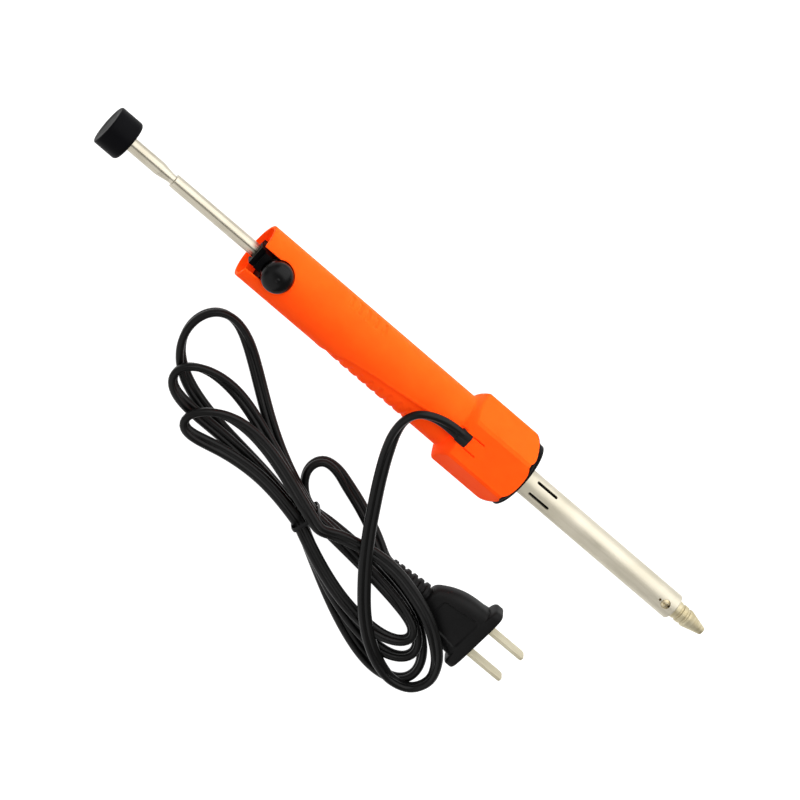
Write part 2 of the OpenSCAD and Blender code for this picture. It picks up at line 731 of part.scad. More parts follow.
module heater_tube() {
    hole_d = screw_head_d + 2 * fit_clear;
    total = tube_x1 - collar_x1;
    neck_r = tube_r - tube_step;
    neck_end = disc_x1 - collar_x1 + stop_gap / 2;
    color(steel) difference() {
        turned(collar_x1, [
            [tube_bore_r, 0], [flange_d / 2, 0], [flange_d / 2, flange_t], [neck_r, flange_t],
            [neck_r, neck_end], [tube_r, neck_end], [tube_r, total], [tube_bore_r, total]
        ]);
        for (i = [0 : vent_count - 1])
            translate([disc_x1 + vent_from_disc, 0, axis_h]) rotate([vent_turn + i * 360 / vent_count, 0, 0])
                translate([0, -vent_w / 2, pipe_r]) cube([vent_len, vent_w, tube_d]);
        translate([screw_x, 0, axis_h]) cylinder(d = hole_d, h = tube_d);
    }
}

module heater_former() {
    color("ivory") sleeve(heater_x0, pipe_r + fit_clear, former_r, heater_len);
}

module heater_winding() {
    color("sienna") on_axis(heater_x0) coil(winding_r, winding_wire, winding_turns, heater_len);
}

module heater_sleeve() {
    color("beige") sleeve(heater_x0, sleeve_r - sleeve_wall, sleeve_r, heater_len);
}

module lead_wires() {
    tunnel_z = gland_z0 + lead_d / 2;
    drop_x = barrel_x1 + lead_d;
    bend_x = collar_x1 - collar_front_wall;
    color("white") for (side = [-1, 1]) {
        y0 = side * cord_w / 4;
        y1 = side * lead_r;
        p = [
            [notch_x1, y0, tunnel_z], [drop_x, y0, tunnel_z], [drop_x + 2 * lead_d, y0, tunnel_z - lead_d],
            [(drop_x + bend_x) / 2, (y0 + y1) / 2, axis_h + bore_r / 2], [bend_x, y1, axis_h],
            [collar_x1, y1, axis_h], [heater_x0, y1, axis_h]
        ];
        sweep(p, [for (q = p) [0, 1, 0]], 6, lead_d / 2, lead_d / 2, 0, len(p) - 1);
    }
}

module nozzle() {
    r = nozzle_d / 2;
    g = nozzle_groove_w;
    waist = r - nozzle_groove_depth;
    shank = nozzle_tail + nozzle_straight;
    total = shank + nozzle_cone;
    color(cream) difference() {
        turned(nozzle_x0, [
            [0, 0], [r, 0], [r, shank - 4 * g], [waist, shank - 4 * g], [waist, shank - 3 * g],
            [r, shank - 3 * g], [r, shank - g], [waist, shank - g], [waist, shank], [r, shank],
            [r, shank + g], [nozzle_tip_d / 2, total], [0, total]
        ]);
        on_axis(nozzle_x0 - 1) cylinder(r = pipe_r + fit_clear, h = nozzle_socket + 1);
        on_axis(nozzle_x0) cylinder(d = nozzle_bore, h = total + 1);
        translate([screw_x, 0, axis_h + r - screw_bite]) cylinder(d = screw_d, h = tube_d);
    }
}

module nozzle_bush() {
    color("goldenrod") difference() {
        sleeve(tube_x1 - bush_len, nozzle_d / 2 + fit_clear, tube_bore_r - fit_clear, bush_len);
        translate([screw_x, 0, axis_h]) cylinder(d = screw_d, h = tube_d);
        translate([screw_x, 0, axis_h + screw_floor]) cylinder(d = screw_head_d + 2 * fit_clear, h = tube_d);
    }
}

module nozzle_screw() {
    tip = nozzle_d / 2 - screw_bite;
    thread_r = screw_d / 2 - fit_clear;
    color(steel) difference() {
        translate([screw_x, 0, axis_h]) union() {
            translate([0, 0, tip]) cylinder(r = thread_r, h = screw_floor - tip);
            translate([0, 0, screw_floor]) cylinder(d = screw_head_d, h = screw_head_h);
        }
        translate([screw_x - screw_head_d, -driver_w / 2, axis_h + screw_top - driver_depth])
            cube([2 * screw_head_d, driver_w, screw_head_h]);
    }
}

module cord_gland() {
    color(black) translate([exit_x, -notch_w / 2, gland_z0])
        cube([gland_len, notch_w, exit_z + gland_over - gland_z0]);
}

module cord_lead() {
    cord(cord_sides + 2, 0, hank_from);
}

module cord_hank() {
    cord(cord_sides, hank_from, hank_to);
}

module cord_tail() {
    cord(cord_sides + 2, hank_to, cord_end);
}

module cord_tie() {
    half = waist_off + cord_w / 2 + stop_gap;
    low = waist_z - cord_t / 2 - stop_gap;
    high = waist_top + cord_t / 2 + stop_gap;
    color(black) translate([hank_at[0], hank_at[1], 0]) rotate([0, 0, hank_turn]) rotate([90, 0, 90])
        linear_extrude(tie_w, center = true) difference() {
            translate([-half - tie_t, low - tie_t]) square([2 * (half + tie_t), high - low + 2 * tie_t]);
            translate([-half, low]) square([2 * half, high - low]);
        }
}

// The plug's own axes: its middle line, tilted on the table
module on_plug() {
    translate([0, plug_y, plug_z]) rotate([plug_roll, 0, 0]) children();
}

// A slice of the plug: a rounded bar across the plug
module plug_slice(x, width, height) {
    for (sy = [-1, 1], sz = [-1, 1])
        translate([x, sy * (width / 2 - plug_edge), sz * (height / 2 - plug_edge)]) rotate([0, 90, 0])
            cylinder(r = plug_edge, h = 1, $fn = 20);
}

// A blade's inner end, on one side of the plug
module at_blade(side) {
    translate([plug_face_x - blade_root, side * blade_apart / 2 - blade_t / 2, 0]) children();
}

module plug_body() {
    rib_pitch = relief_len / relief_ribs;
    panel_x0 = relief_x1 + plug_body_len / 4;
    panel_w0 = plug_neck_w / 2;
    panel_w1 = plug_shoulder_w - plug_neck_w / 2;
    panel_x1 = plug_x1 - 1;
    mid_w = (plug_neck_w + plug_shoulder_w) / 2;
    color(black) on_plug() difference() {
        union() {
            hull() {
                plug_slice(relief_x1, plug_neck_w, relief_d1);
                plug_slice(relief_x1 + plug_body_len / 3, mid_w, plug_t - plug_edge / 2);
                plug_slice(plug_x1 - 1, plug_shoulder_w, plug_t);
            }
            hull() {
                plug_slice(plug_x1, plug_w, plug_t);
                plug_slice(plug_face_x - 1, plug_w, plug_t);
            }
            translate([relief_x0, 0, 0]) rotate([0, 90, 0]) cylinder(
                d1 = relief_d0 - 2 * relief_depth, d2 = relief_d1 - 2 * relief_depth, h = relief_len
            );
            for (i = [0 : relief_ribs - 1]) {
                rib_d = relief_d0 + (relief_d1 - relief_d0) * i / (relief_ribs - 1);
                translate([relief_x0 + i * rib_pitch, 0, 0]) rotate([0, 90, 0])
                    cylinder(d = rib_d, h = rib_pitch / 2);
            }
        }
        for (side = [-1, 1])
            at_blade(side) translate([0, 0, -blade_w / 2]) cube([blade_root + 1, blade_t, blade_w]);
        translate([0, 0, plug_t / 2 - panel_depth]) linear_extrude(plug_t) polygon([
            [panel_x0, -panel_w0 / 2], [panel_x0, panel_w0 / 2],
            [panel_x1, panel_w1 / 2], [panel_x1, -panel_w1 / 2]
        ]);
    }
}

module plug_blades() {
    straight = blade_root + blade_len - blade_w / 2;
    color(cream) on_plug() for (side = [-1, 1])
        at_blade(side) rotate([90, 0, 0]) translate([0, 0, -blade_t]) linear_extrude(blade_t) union() {
            translate([0, -blade_w / 2]) square([straight, blade_w]);
            translate([straight, 0]) circle(d = blade_w);
        }
}

union() {  // cord_hank
    echo(cord_least_gap = least_gap(fine(cord_path, gap_steps)), cord_len = last(run_lengths(cord_path)));
}

barrel();
collar();
front_disc();
rear_guide();
trigger_button();
latch_plate();
trigger_spring();
plunger_knob();
plunger_rod();
piston();
piston_ring();
main_spring();
chamber_plug();
pipe_seal();
suction_pipe();
heater_tube();
heater_former();
heater_winding();
heater_sleeve();
lead_wires();
nozzle();
nozzle_bush();
nozzle_screw();
cord_gland();
cord_lead();
cord_hank();
cord_tie();
cord_tail();
plug_body();
plug_blades();
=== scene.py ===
"""Looks of an electric desoldering pump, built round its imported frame.

Sizes are millimetres until a mesh is made, and the frame is in metres. +X runs along the tool to
its nozzle, +Z is up and the tool's axis lies AXIS_H above the table. An angle round that axis is 0
at the top and grows towards -Y.
"""
import logging
import math
from dataclasses import dataclass, field
from enum import Enum
from functools import cache

import bmesh
import bpy
import numpy as np
from mathutils import Matrix, Vector


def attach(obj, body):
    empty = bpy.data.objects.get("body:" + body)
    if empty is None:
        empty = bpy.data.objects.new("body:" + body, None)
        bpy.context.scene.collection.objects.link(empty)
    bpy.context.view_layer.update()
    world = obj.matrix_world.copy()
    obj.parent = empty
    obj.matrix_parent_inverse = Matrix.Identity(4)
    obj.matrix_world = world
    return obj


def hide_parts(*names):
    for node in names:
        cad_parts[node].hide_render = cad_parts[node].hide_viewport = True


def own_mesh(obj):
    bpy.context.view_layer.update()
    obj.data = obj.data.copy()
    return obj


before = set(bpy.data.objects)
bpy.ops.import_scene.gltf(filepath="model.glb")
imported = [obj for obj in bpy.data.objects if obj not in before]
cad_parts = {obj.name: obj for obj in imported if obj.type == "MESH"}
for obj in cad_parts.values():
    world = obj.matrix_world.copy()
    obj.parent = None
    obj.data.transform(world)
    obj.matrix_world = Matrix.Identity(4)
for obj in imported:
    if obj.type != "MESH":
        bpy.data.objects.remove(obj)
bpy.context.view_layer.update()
LOG = logging.getLogger("desoldering_pump")

Point = tuple[float, float, float]
Pair = tuple[float, float]
Socket = bpy.types.NodeSocket
MM = 0.001
AXIS_H = 15.2
WELD = 1e-6
TURN = 2 * math.pi
RING = 96
LEG_SHARE = 0.48  # the most of a leg that one fillet takes
NEARLY_STRAIGHT = 1.55  # half a corner's angle, in radians, from which it stays as it is
NOISE_RANGE = (0.3, 0.7)  # where most values of a noise lie


class Body(Enum):
    """The moving bodies of the tool."""

    CASING = "casing"
    PLUNGER = "plunger"
    TRIGGER = "trigger"


class Slot(Enum):
    """The record's material slots."""

    ORANGE = "orange_plastic"
    BLACK = "black_plastic"
    CORD = "cord_pvc"
    SEAL = "seal_rubber"
    TUBE = "steel_tube"
    PLATED = "plated_steel"
    SPRING = "spring_steel"
    NOZZLE = "nozzle_metal"
    BRASS = "brass"
    CERAMIC = "heater_ceramic"
    SLEEVING = "wire_sleeving"


class Axis(Enum):
    """The way that a turned or wound piece points."""

    ALONG = (1, 0, 0)
    UP = (0, 0, 1)


def linear(hexa: str) -> tuple[float, float, float, float]:
    """Turn an sRGB hex colour such as "#ff5a14" into the linear RGBA that shaders take."""
    parts = np.array([int(hexa[i:i + 2], 16) for i in (1, 3, 5)]) / 255
    return (*np.where(parts <= 0.04045, parts / 12.92, ((parts + 0.055) / 1.055) ** 2.4).tolist(), 1.0)


def ease(t: np.ndarray) -> np.ndarray:
    """Rise smoothly from 0 to 1: 3t^2 - 2t^3 with t held between 0 and 1."""
    t = np.clip(t, 0, 1)
    return t * t * (3 - 2 * t)


def edge_drop(e: np.ndarray, r: float) -> np.ndarray:
    """Tell how far a fillet r has dropped at distance e from its edge: r - sqrt(r^2 - (r - e)^2)."""
    inside = np.clip(r - e, 0, r)
    return r - np.sqrt(r * r - inside * inside)


def soft_min(a: np.ndarray, b: np.ndarray, k: float) -> np.ndarray:
    """Take the smaller of two heights, with the crossing rounded over a width k."""
    h = np.clip(k - np.abs(a - b), 0, None) / k
    return np.minimum(a, b) - h * h * k / 4


def soft_max(a: np.ndarray, b: np.ndarray, k: float) -> np.ndarray:
    """Take the larger of two heights, with the crossing rounded over a width k."""
    return -soft_min(-a, -b, k)


def signed_power(v: np.ndarray, power: float | np.ndarray) -> np.ndarray:
    """Raise the size of v to a power and keep its sign, as a superellipse does."""
    return np.sign(v) * np.abs(v) ** power


def half_round(x: np.ndarray, r: float) -> np.ndarray:
    """Give the height of a circle of radius r at x: sqrt(r^2 - x^2), 0 outside it."""
    return np.sqrt(np.clip(r * r - x * x, 0, None))


def around(count: int) -> np.ndarray:
    """Spread angles evenly round a full turn, in radians."""
    return np.linspace(0, TURN, count, endpoint=False)


def steps_along(points: np.ndarray) -> np.ndarray:
    """Give the distances between points that follow one another."""
    return np.linalg.norm(np.diff(points[:, :3], axis=0), axis=1)


def unit(rows: np.ndarray) -> np.ndarray:
    """Bring each row to length 1."""
    return rows / np.linalg.norm(rows, axis=1, keepdims=True)


def filleted(corners: list[Point], steps: int = 6) -> np.ndarray:
    """Round the corners of an open outline.

    Each corner with a radius becomes an arc of that radius, held to its two legs.

    Args:
        corners: Points as (along, out, radius); the first and last stay sharp.
        steps: Pieces of each arc.

    Returns:
        The outline's points, as rows of (along, out).
    """
    pts = np.array([c[:2] for c in corners], float)
    out = [pts[:1]]
    for i in range(1, len(pts) - 1):
        back, ahead = pts[i - 1] - pts[i], pts[i + 1] - pts[i]
        lb, la = np.linalg.norm(back), np.linalg.norm(ahead)
        back, ahead = back / lb, ahead / la
        half = math.acos(float(np.clip(back @ ahead, -1, 1))) / 2
        run = min(corners[i][2] / math.tan(half), LEG_SHARE * lb, LEG_SHARE * la)
        if half >= NEARLY_STRAIGHT or run < WELD:
            out.append(pts[i:i + 1])
            continue
        mid = back + ahead
        centre = pts[i] + mid / np.linalg.norm(mid) * (run * math.tan(half) / math.sin(half))
        a, b = pts[i] + back * run - centre, pts[i] + ahead * run - centre
        t = np.linspace(0, 1, steps + 1)[:, None]
        whole = math.pi - 2 * half
        out.append(centre + (np.sin((1 - t) * whole) * a + np.sin(t * whole) * b) / math.sin(whole))
    return np.concatenate([*out, pts[-1:]])


@dataclass
class Surface:
    """Points in millimetres, and the faces between them."""

    points: np.ndarray
    faces: list[np.ndarray]


def joined(*parts: Surface) -> Surface:
    """Put several surfaces into one.

    Args:
        parts: The surfaces.

    Returns:
        One surface that holds them all.
    """
    starts = np.cumsum([0, *(len(part.points) for part in parts)])
    faces = [f + start for part, start in zip(parts, starts) for f in part.faces]
    return Surface(np.concatenate([part.points for part in parts]), faces)


def grid_surface(grid: np.ndarray, wrap_rows: bool = False, wrap_cols: bool = False) -> Surface:
    """Make a surface of quads from a grid of points.

    Args:
        grid: Points as an array of (rows, columns, 3).
        wrap_rows: Join the last row to the first.
        wrap_cols: Join the last column to the first.

    Returns:
        The surface.
    """
    rows, cols = grid.shape[:2]
    i = np.arange(rows if wrap_rows else rows - 1)[:, None]
    j = np.arange(cols if wrap_cols else cols - 1)[None, :]
    i2, j2 = (i + 1) % rows, (j + 1) % cols
    quads = [i * cols + j, i * cols + j2, i2 * cols + j2, i2 * cols + j]
    return Surface(grid.reshape(-1, 3), [np.stack(np.broadcast_arrays(*quads), -1).reshape(-1, 4)])


def torus(grid: np.ndarray) -> Surface:
    """Make a surface of a grid that closes both ways."""
    return grid_surface(grid, wrap_rows=True, wrap_cols=True)


def capped(grid: np.ndarray) -> Surface:
    """Close a tube of rings with one face on each end.

    Args:
        grid: Points as an array of (rings, points of a ring, 3).

    Returns:
        The closed surface.
    """
    order = np.arange(grid.shape[1])[None, :]
    ends = [Surface(grid[i], [order[:, ::1 if i else -1]]) for i in (0, -1)]
    return joined(grid_surface(grid, wrap_cols=True), *ends)


def round_axis(x: np.ndarray, r: np.ndarray, angle: np.ndarray) -> np.ndarray:
    """Place points round the tool's axis: (x, -r sin a, AXIS_H + r cos a)."""
    x, r, angle = np.broadcast_arrays(x, r, angle)
    return np.stack([x, -r * np.sin(angle), AXIS_H + r * np.cos(angle)], -1)


def turned(profile: np.ndarray, axis: Axis = Axis.ALONG, at: Point = (0, 0, AXIS_H),
           loop: bool = False, count: int = RING) -> Surface:
    """Turn a profile round an axis, as on a lathe: each point (a, r) becomes a ring of radius r.

    Args:
        profile: Rows of (place along the axis, radius); a radius of 0 closes the end.
        axis: The way of the axis.
        at: A point of the axis, from which places along it count.
        loop: Join the profile's last point to its first.
        count: Points round a ring.

    Returns:
        The turned surface.
    """
    angle = around(count)
    a, r = profile[:, :1] + 0 * angle, profile[:, 1:]
    out, up = r * np.sin(angle), r * np.cos(angle)
    ways = (a, -out, up) if axis is Axis.ALONG else (up, out, a)
    return grid_surface(np.stack(ways, -1) + np.array(at, float), wrap_rows=loop, wrap_cols=True)


def make_mesh(name: str, surface: Surface, sharp: float) -> bpy.types.Mesh:
    """Put a surface into a mesh in metres, weld its seams and turn its faces outwards.

    Args:
        name: Name of the mesh.
        surface: Points and faces in millimetres.
        sharp: Angle in degrees from which an edge shades as an edge.

    Returns:
        The mesh, smooth apart from its sharp edges.
    """
    mesh = bpy.data.meshes.new(name)
    faces = [row for block in surface.faces for row in block.tolist()]
    mesh.from_pydata((surface.points * MM).tolist(), [], faces)
    work = bmesh.new()
    work.from_mesh(mesh)
    bmesh.ops.remove_doubles(work, verts=work.verts, dist=WELD)
    bmesh.ops.dissolve_degenerate(work, edges=work.edges, dist=WELD)
    bmesh.ops.recalc_face_normals(work, faces=work.faces)
    work.to_mesh(mesh)
    work.free()
    mesh.polygons.foreach_set("use_smooth", np.ones(len(mesh.polygons), bool))
    mesh.set_sharp_from_angle(angle=math.radians(sharp))
    mesh.update()
    return mesh


def add_object(name: str, data: bpy.types.ID) -> bpy.types.Object:
    """Put a mesh, light or camera into the scene.

    Args:
        name: Name of the object.
        data: What it holds.

    Returns:
        The object.
    """
    thing = bpy.data.objects.new(name, data)
    bpy.context.scene.collection.objects.link(thing)
    return thing


@dataclass
class Graph:
    """A shader tree in the making, with the nodes that the finishes share."""

    tree: bpy.types.NodeTree

    def __post_init__(self) -> None:
        """Start from an empty tree."""
        self.tree.nodes.clear()

    def add(self, kind: str, inputs: dict | None = None, **settings) -> bpy.types.Node:
        """Add one node, set it and link it.

        Args:
            kind: Type name of the node, after ShaderNode.
            inputs: Values by socket name; a socket of another node is linked.
            settings: Properties of the node itself.

        Returns:
            The new node.
        """
        node = self.tree.nodes.new("ShaderNode" + kind)
        for name, value in settings.items():
            setattr(node, name, value)
        for name, value in (inputs or {}).items():
            if isinstance(value, Socket):
                self.tree.links.new(value, node.inputs[name])
            else:
                node.inputs[name].default_value = value
        return node

    def place(self, kind: str = "Object") -> Socket:
        """Give the coordinates that a pattern follows."""
        return self.add("TexCoord").outputs[kind]

    def noise(self, place: Socket, size: float, detail: float = 2.0, rough: float = 0.5) -> Socket:
        """Draw a noise with cells size millimetres wide."""
        cells = {"Vector": place, "Scale": 1 / (size * MM), "Detail": detail, "Roughness": rough}
        return self.add("TexNoise", cells).outputs["Fac"]

    def mixed(self, share: Socket, start: str, end: str) -> Socket:
        """Mix two hex colours by a share."""
        ends = {"Factor": share, "A": linear(start), "B": linear(end)}
        return self.add("Mix", ends, data_type="RGBA").outputs["Result"]

    def spread(self, value: Socket, source: Pair, target: Pair) -> Socket:
        """Carry a value from one range to another."""
        ends = dict(zip(("From Min", "From Max", "To Min", "To Max"), (*source, *target)))
        return self.add("MapRange", {"Value": value, **ends}).outputs["Result"]

    def bump(self, height: Socket, strength: float, depth: float) -> Socket:
        """Raise a pattern by depth millimetres."""
        raised = {"Height": height, "Strength": strength, "Distance": depth * MM}
        return self.add("Bump", raised).outputs["Normal"]

    def shade(self, inputs: dict) -> None:
        """End the tree in one surface shader."""
        shader = self.add("BsdfPrincipled", inputs)
        self.add("OutputMaterial", {"Surface": shader.outputs["BSDF"]})


def new_material(name: str) -> tuple[bpy.types.Material, Graph]:
    """Start an empty node material.

    Args:
        name: Name of the real material and how its surface was made.

    Returns:
        The material and its graph.
    """
    material = bpy.data.materials.new(name)
    material.use_nodes = True
    return material, Graph(material.node_tree)


@dataclass(frozen=True)
class Finish:
    """What every finish has: its name, the record's slot, two tones of its colour and a roughness."""

    name: str
    slot: Slot
    base: str
    deep: str
    rough: float


@dataclass(frozen=True)
class Plastic(Finish):
    """Injection-moulded plastic: an even colour with a faint flow mottle and a fine spark-eroded grain."""

    mottle: float = 9.0
    grain: float = 0.35
    grain_depth: float = 0.012
    specular: float = 0.5
    glow: float = 0.0
    glow_mm: float = 6.0
    # strength of an even red emission: painted glow that brightens the shaded side
    painted_red_glow: float = 0.0

    def material(self) -> bpy.types.Material:
        """Build the plastic.

        The mottle mixes two tones of the colour over patches some millimetres wide, the same noise makes
        the gloss uneven, and the grain, drawn coarser than the real 0.05 mm so that it shows, is a bump.
        In a plastic with a glow, red light travels some millimetres inside and warms the shaded side; an
        even red emission, a painted glow, brightens the shaded side further, though the plastic is no lamp.

        Returns:
            The material.
        """
        material, graph = new_material(self.name)
        place = graph.place()
        flow = graph.noise(place, self.mottle, 3.0, 0.55)
        graph.shade({
            "Base Color": graph.mixed(flow, self.base, self.deep),
            "Roughness": graph.spread(flow, NOISE_RANGE, (self.rough - 0.04, self.rough + 0.05)),
            "IOR": 1.5, "Specular IOR Level": self.specular, "Subsurface Weight": self.glow,
            "Subsurface Radius": (1.0, 0.12, 0.04), "Subsurface Scale": self.glow_mm * MM,
            # Painted glow: the red emission lifts the shaded side, though the plastic is no lamp.
            "Emission Color": linear("#ff1a00"), "Emission Strength": self.painted_red_glow,
            "Normal": graph.bump(graph.noise(place, self.grain), 0.5, self.grain_depth)})
        return material


@dataclass(frozen=True)
class Metal(Finish):
    """Bare or plated metal with the fine lines that drawing or turning leaves."""

    line: float = 0.35
    stretch: Point = (0.02, 1.0, 1.0)
    line_depth: float = 0.006
    tint_mm: float = 14.0
    anisotropy: float = 0.0

    def material(self) -> bpy.types.Material:
        """Build the metal.

        The lines are a noise drawn out along the way of working, coarser than the real 0.05 mm so that
        they show; they touch the colour, the gloss and, as a bump, the surface. A second, wide noise
        gives the slow change of tone of handled metal.

        Returns:
            The material.
        """
        material, graph = new_material(self.name)
        place = graph.place()
        drawn = graph.add("Mapping", {"Vector": place, "Scale": self.stretch}).outputs["Vector"]
        lines = graph.noise(drawn, self.line, 3.0, 0.6)
        both = {0: lines, 1: graph.noise(place, self.tint_mm)}
        worn = graph.add("Math", both, operation="MULTIPLY").outputs["Value"]
        graph.shade({
            "Base Color": graph.mixed(graph.spread(worn, (0.1, 0.4), (0.0, 1.0)), self.deep, self.base),
            "Roughness": graph.spread(lines, NOISE_RANGE, (self.rough - 0.05, self.rough + 0.07)),
            "Metallic": 1.0, "Anisotropic": self.anisotropy,
            "Normal": graph.bump(lines, 0.4, self.line_depth)})
        return material


TURNED_LINES = (1.0, 0.05, 0.05)
# The orange's red emission is painted glow that keeps its shaded side bright red.
ORANGE = Plastic("nylon_orange_moulded", Slot.ORANGE, "#ff6416", "#fc5812", 0.55, specular=0.02, glow=0.3,
                 glow_mm=2.5, painted_red_glow=0.36)
BLACK = Plastic("abs_black_satin_moulded", Slot.BLACK, "#070708", "#040405", 0.5, specular=0.03)
KNOB_BLACK = Plastic("phenolic_black_moulded", Slot.BLACK, "#0b0b0e", "#08080a", 0.45, specular=0.03)
BUTTON_BLACK = Plastic("abs_black_gloss_moulded", Slot.BLACK, "#060607", "#040405", 0.26, specular=0.14)
CORD_PVC = Plastic("pvc_black_extruded", Slot.CORD, "#080808", "#040404", 0.34, 5.0, 0.5, specular=0.16)
PLUG_PVC = Plastic("pvc_black_moulded", Slot.CORD, "#0a0a0b", "#060606", 0.5, grain_depth=0.02, specular=0.14)
TIE_BLACK = Plastic("pvc_tie_black_extruded", Slot.CORD, "#0c0c0d", "#070708", 0.42, specular=0.16)
RUBBER = Plastic("nitrile_rubber_moulded", Slot.SEAL, "#101010", "#0a0a0a", 0.7, specular=0.2)
CERAMIC = Plastic("steatite_fired", Slot.CERAMIC, "#e8e2d2", "#d8cfba", 0.6)
# Painted shade: the heater sleeve is made near-black so that the tube's vents read black inside.
MICA_PAINTED_SHADE = Plastic("mica_wrap_painted_shade", Slot.CERAMIC, "#1c1813", "#100d0a", 0.6, specular=0.2)
# Painted shade: the lead wires' sleeving is made near-black so that the tube's vents read black inside.
SLEEVING = Plastic("glass_sleeving_painted_shade", Slot.SLEEVING, "#191713", "#0e0d0b", 0.8, grain=0.6,
                   grain_depth=0.06, specular=0.1)
TUBE_STEEL = Metal("stainless_steel_drawn", Slot.TUBE, "#cbc5b6", "#b9b3a1", 0.52, anisotropy=0.3)
NICKEL = Metal("steel_nickel_plated", Slot.PLATED, "#c0bbad", "#a29b8b", 0.28, line_depth=0.003)
BLADE_METAL = Metal("brass_nickel_plated_stamped", Slot.PLATED, "#cfcab6", "#bdb59d", 0.72)
DARK_STEEL = Metal("steel_black_oxide", Slot.PLATED, "#2e2a26", "#1f1b18", 0.6)
SPRING_WIRE = Metal("spring_steel_wire", Slot.SPRING, "#9a9a98", "#7d7d7b", 0.35)
BLUED_WIRE = Metal("spring_steel_wire_blued", Slot.SPRING, "#2e2a26", "#1f1b18", 0.6)
NOZZLE_METAL = Metal("iron_plated_copper_turned", Slot.NOZZLE, "#d0c8ae", "#aa9e7c", 0.55,
                     stretch=TURNED_LINES, tint_mm=5.0)
SCREW_METAL = Metal("steel_nickel_plated_screw", Slot.PLATED, "#d2c9b0", "#937f55", 0.4, 0.8, (1, 1, 1))
BRASS = Metal("brass_turned", Slot.BRASS, "#5a4822", "#3f3014", 0.4, stretch=TURNED_LINES)


@cache
def finish_of(finish: Finish) -> bpy.types.Material:
    """Build a finish once and hand out the same material afterwards."""
    return finish.material()


def make_piece(name: str, surface: Surface, finish: Finish, *nodes: str, body: Body = Body.CASING,
               sharp: float = 32.0) -> bpy.types.Object:
    """Make a visible piece of a surface, give it its finish and its body.

    Args:
        name: Name of the piece.
        surface: Its surface in millimetres.
        finish: Its finish.
        nodes: Solids that it stands for.
        body: The body that it moves with.
        sharp: Angle in degrees from which an edge shades as an edge.

    Returns:
        The piece.
    """
    piece = add_object(name, make_mesh(name, surface, sharp))
    piece.data.materials.append(finish_of(finish))
    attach(piece, body.value)
    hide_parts(*nodes)
    LOG.info("%s: %d faces, on %s", name, len(piece.data.polygons), body.value)
    return piece


def dress_node(node: str, finish: Finish) -> None:
    """Give a solid that stays its finish.

    Args:
        node: Name of the solid.
        finish: Its finish.
    """
    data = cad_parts[node].data
    data.materials.clear()
    data.materials.append(finish_of(finish))
    LOG.info("%s: solid kept, %s", node, finish.name)


@dataclass(frozen=True)
class Panel:
    """A square soft light; one that doesn't light matt faces only shines in reflections."""

    name: str
    at: Point
    size: float
    watts: float
    lights_matt: bool = True

    def build(self, target: Point) -> None:
        """Hang the panel so that it faces a point.

        Args:
            target: The point.
        """
        data = bpy.data.lights.new(self.name, "AREA")
        data.energy, data.size = self.watts, self.size * MM
        light = add_object(self.name, data)
        light.visible_diffuse = self.lights_matt
        place = Vector(self.at)
        facing = (Vector(target) - place).to_track_quat("-Z", "Y").to_matrix().to_4x4()
        light.matrix_world = Matrix.Translation(place * MM) @ facing


@dataclass
class Studio:
    """Camera, pale floor and soft lights."""

    lens: float = 187.013
    sensor: float = 36.0
    clip_end: float = 100.0
    target: Point = (-37.85, -7.89, 15.2)
    eye: Point = (-424.92, 314.89, 1533.75)
    axis_on_image: Pair = (0.7611, 0.6486)
    floor_size: float = 6000.0
    floor_fibre: float = 40.0
    floor_glow: float = 1.0
    zenith: float = 0.4
    horizon: float = 0.3
    lit_point: Point = (-30, -20, 10)
    panels: tuple[Panel, ...] = (
        Panel("key", (100, 900, 700), 1750, 22.5),
        Panel("fill", (-300, -900, 750), 1900, 12.0, lights_matt=False),
        Panel("rear", (-900, 200, 600), 900, 1.5))

    def build(self) -> None:
        """Set up camera, floor and lights."""
        bpy.context.scene.view_settings.view_transform = "Standard"
        self.camera()
        self.floor()
        for panel in self.panels:
            panel.build(self.lit_point)
        self.surround()

    def camera(self) -> None:
        """Place the camera: the tool's axis runs along axis_on_image, right and down on the picture."""
        back = (Vector(self.eye) - Vector(self.target)).normalized()
        level = (Vector((1, 0, 0)) - back * back.x).normalized()
        across = (-back).cross(level)
        u, v = self.axis_on_image
        right, down = level * u - across * v, level * v + across * u
        turn = Matrix((right, -down, back)).transposed()
        data = bpy.data.cameras.new("camera")
        data.lens, data.sensor_width, data.clip_end = self.lens, self.sensor, self.clip_end
        camera = add_object("camera", data)
        camera.matrix_world = Matrix.Translation(Vector(self.eye) * MM) @ turn.to_4x4()
        bpy.context.scene.camera = camera

    def floor(self) -> None:
        """Lay a plain table at height 0, which glows so that it stays white with hardly a shadow."""
        line = np.linspace(-0.5, 0.5, 3) * self.floor_size
        x, y = np.meshgrid(line, line)
        mesh = make_mesh("floor", grid_surface(np.stack([x, y, 0 * x], -1)), 30)
        if mesh.polygons[0].normal.z < 0:
            mesh.flip_normals()
        material, graph = new_material("paper_white_matt")
        fibre = graph.noise(graph.place(), self.floor_fibre)
        graph.shade({"Base Color": graph.mixed(fibre, "#9a9a9a", "#969696"), "Roughness": 0.9,
                     "Emission Color": linear("#ffffff"), "Emission Strength": self.floor_glow})
        mesh.materials.append(material)
        add_object("floor", mesh)

    def surround(self) -> None:
        """Fill the space round the scene with a dim sky, brighter overhead."""
        world = bpy.data.worlds.new("surround")
        world.use_nodes = True
        bpy.context.scene.world = world
        graph = Graph(world.node_tree)
        up = graph.add("SeparateXYZ", {"Vector": graph.place("Generated")}).outputs["Z"]
        power = graph.spread(up, (0.0, 1.0), (self.horizon, self.zenith))
        sky = graph.add("Background", {"Color": linear("#f6f4f0"), "Strength": power})
        graph.add("OutputWorld", {"Surface": sky.outputs["Background"]})


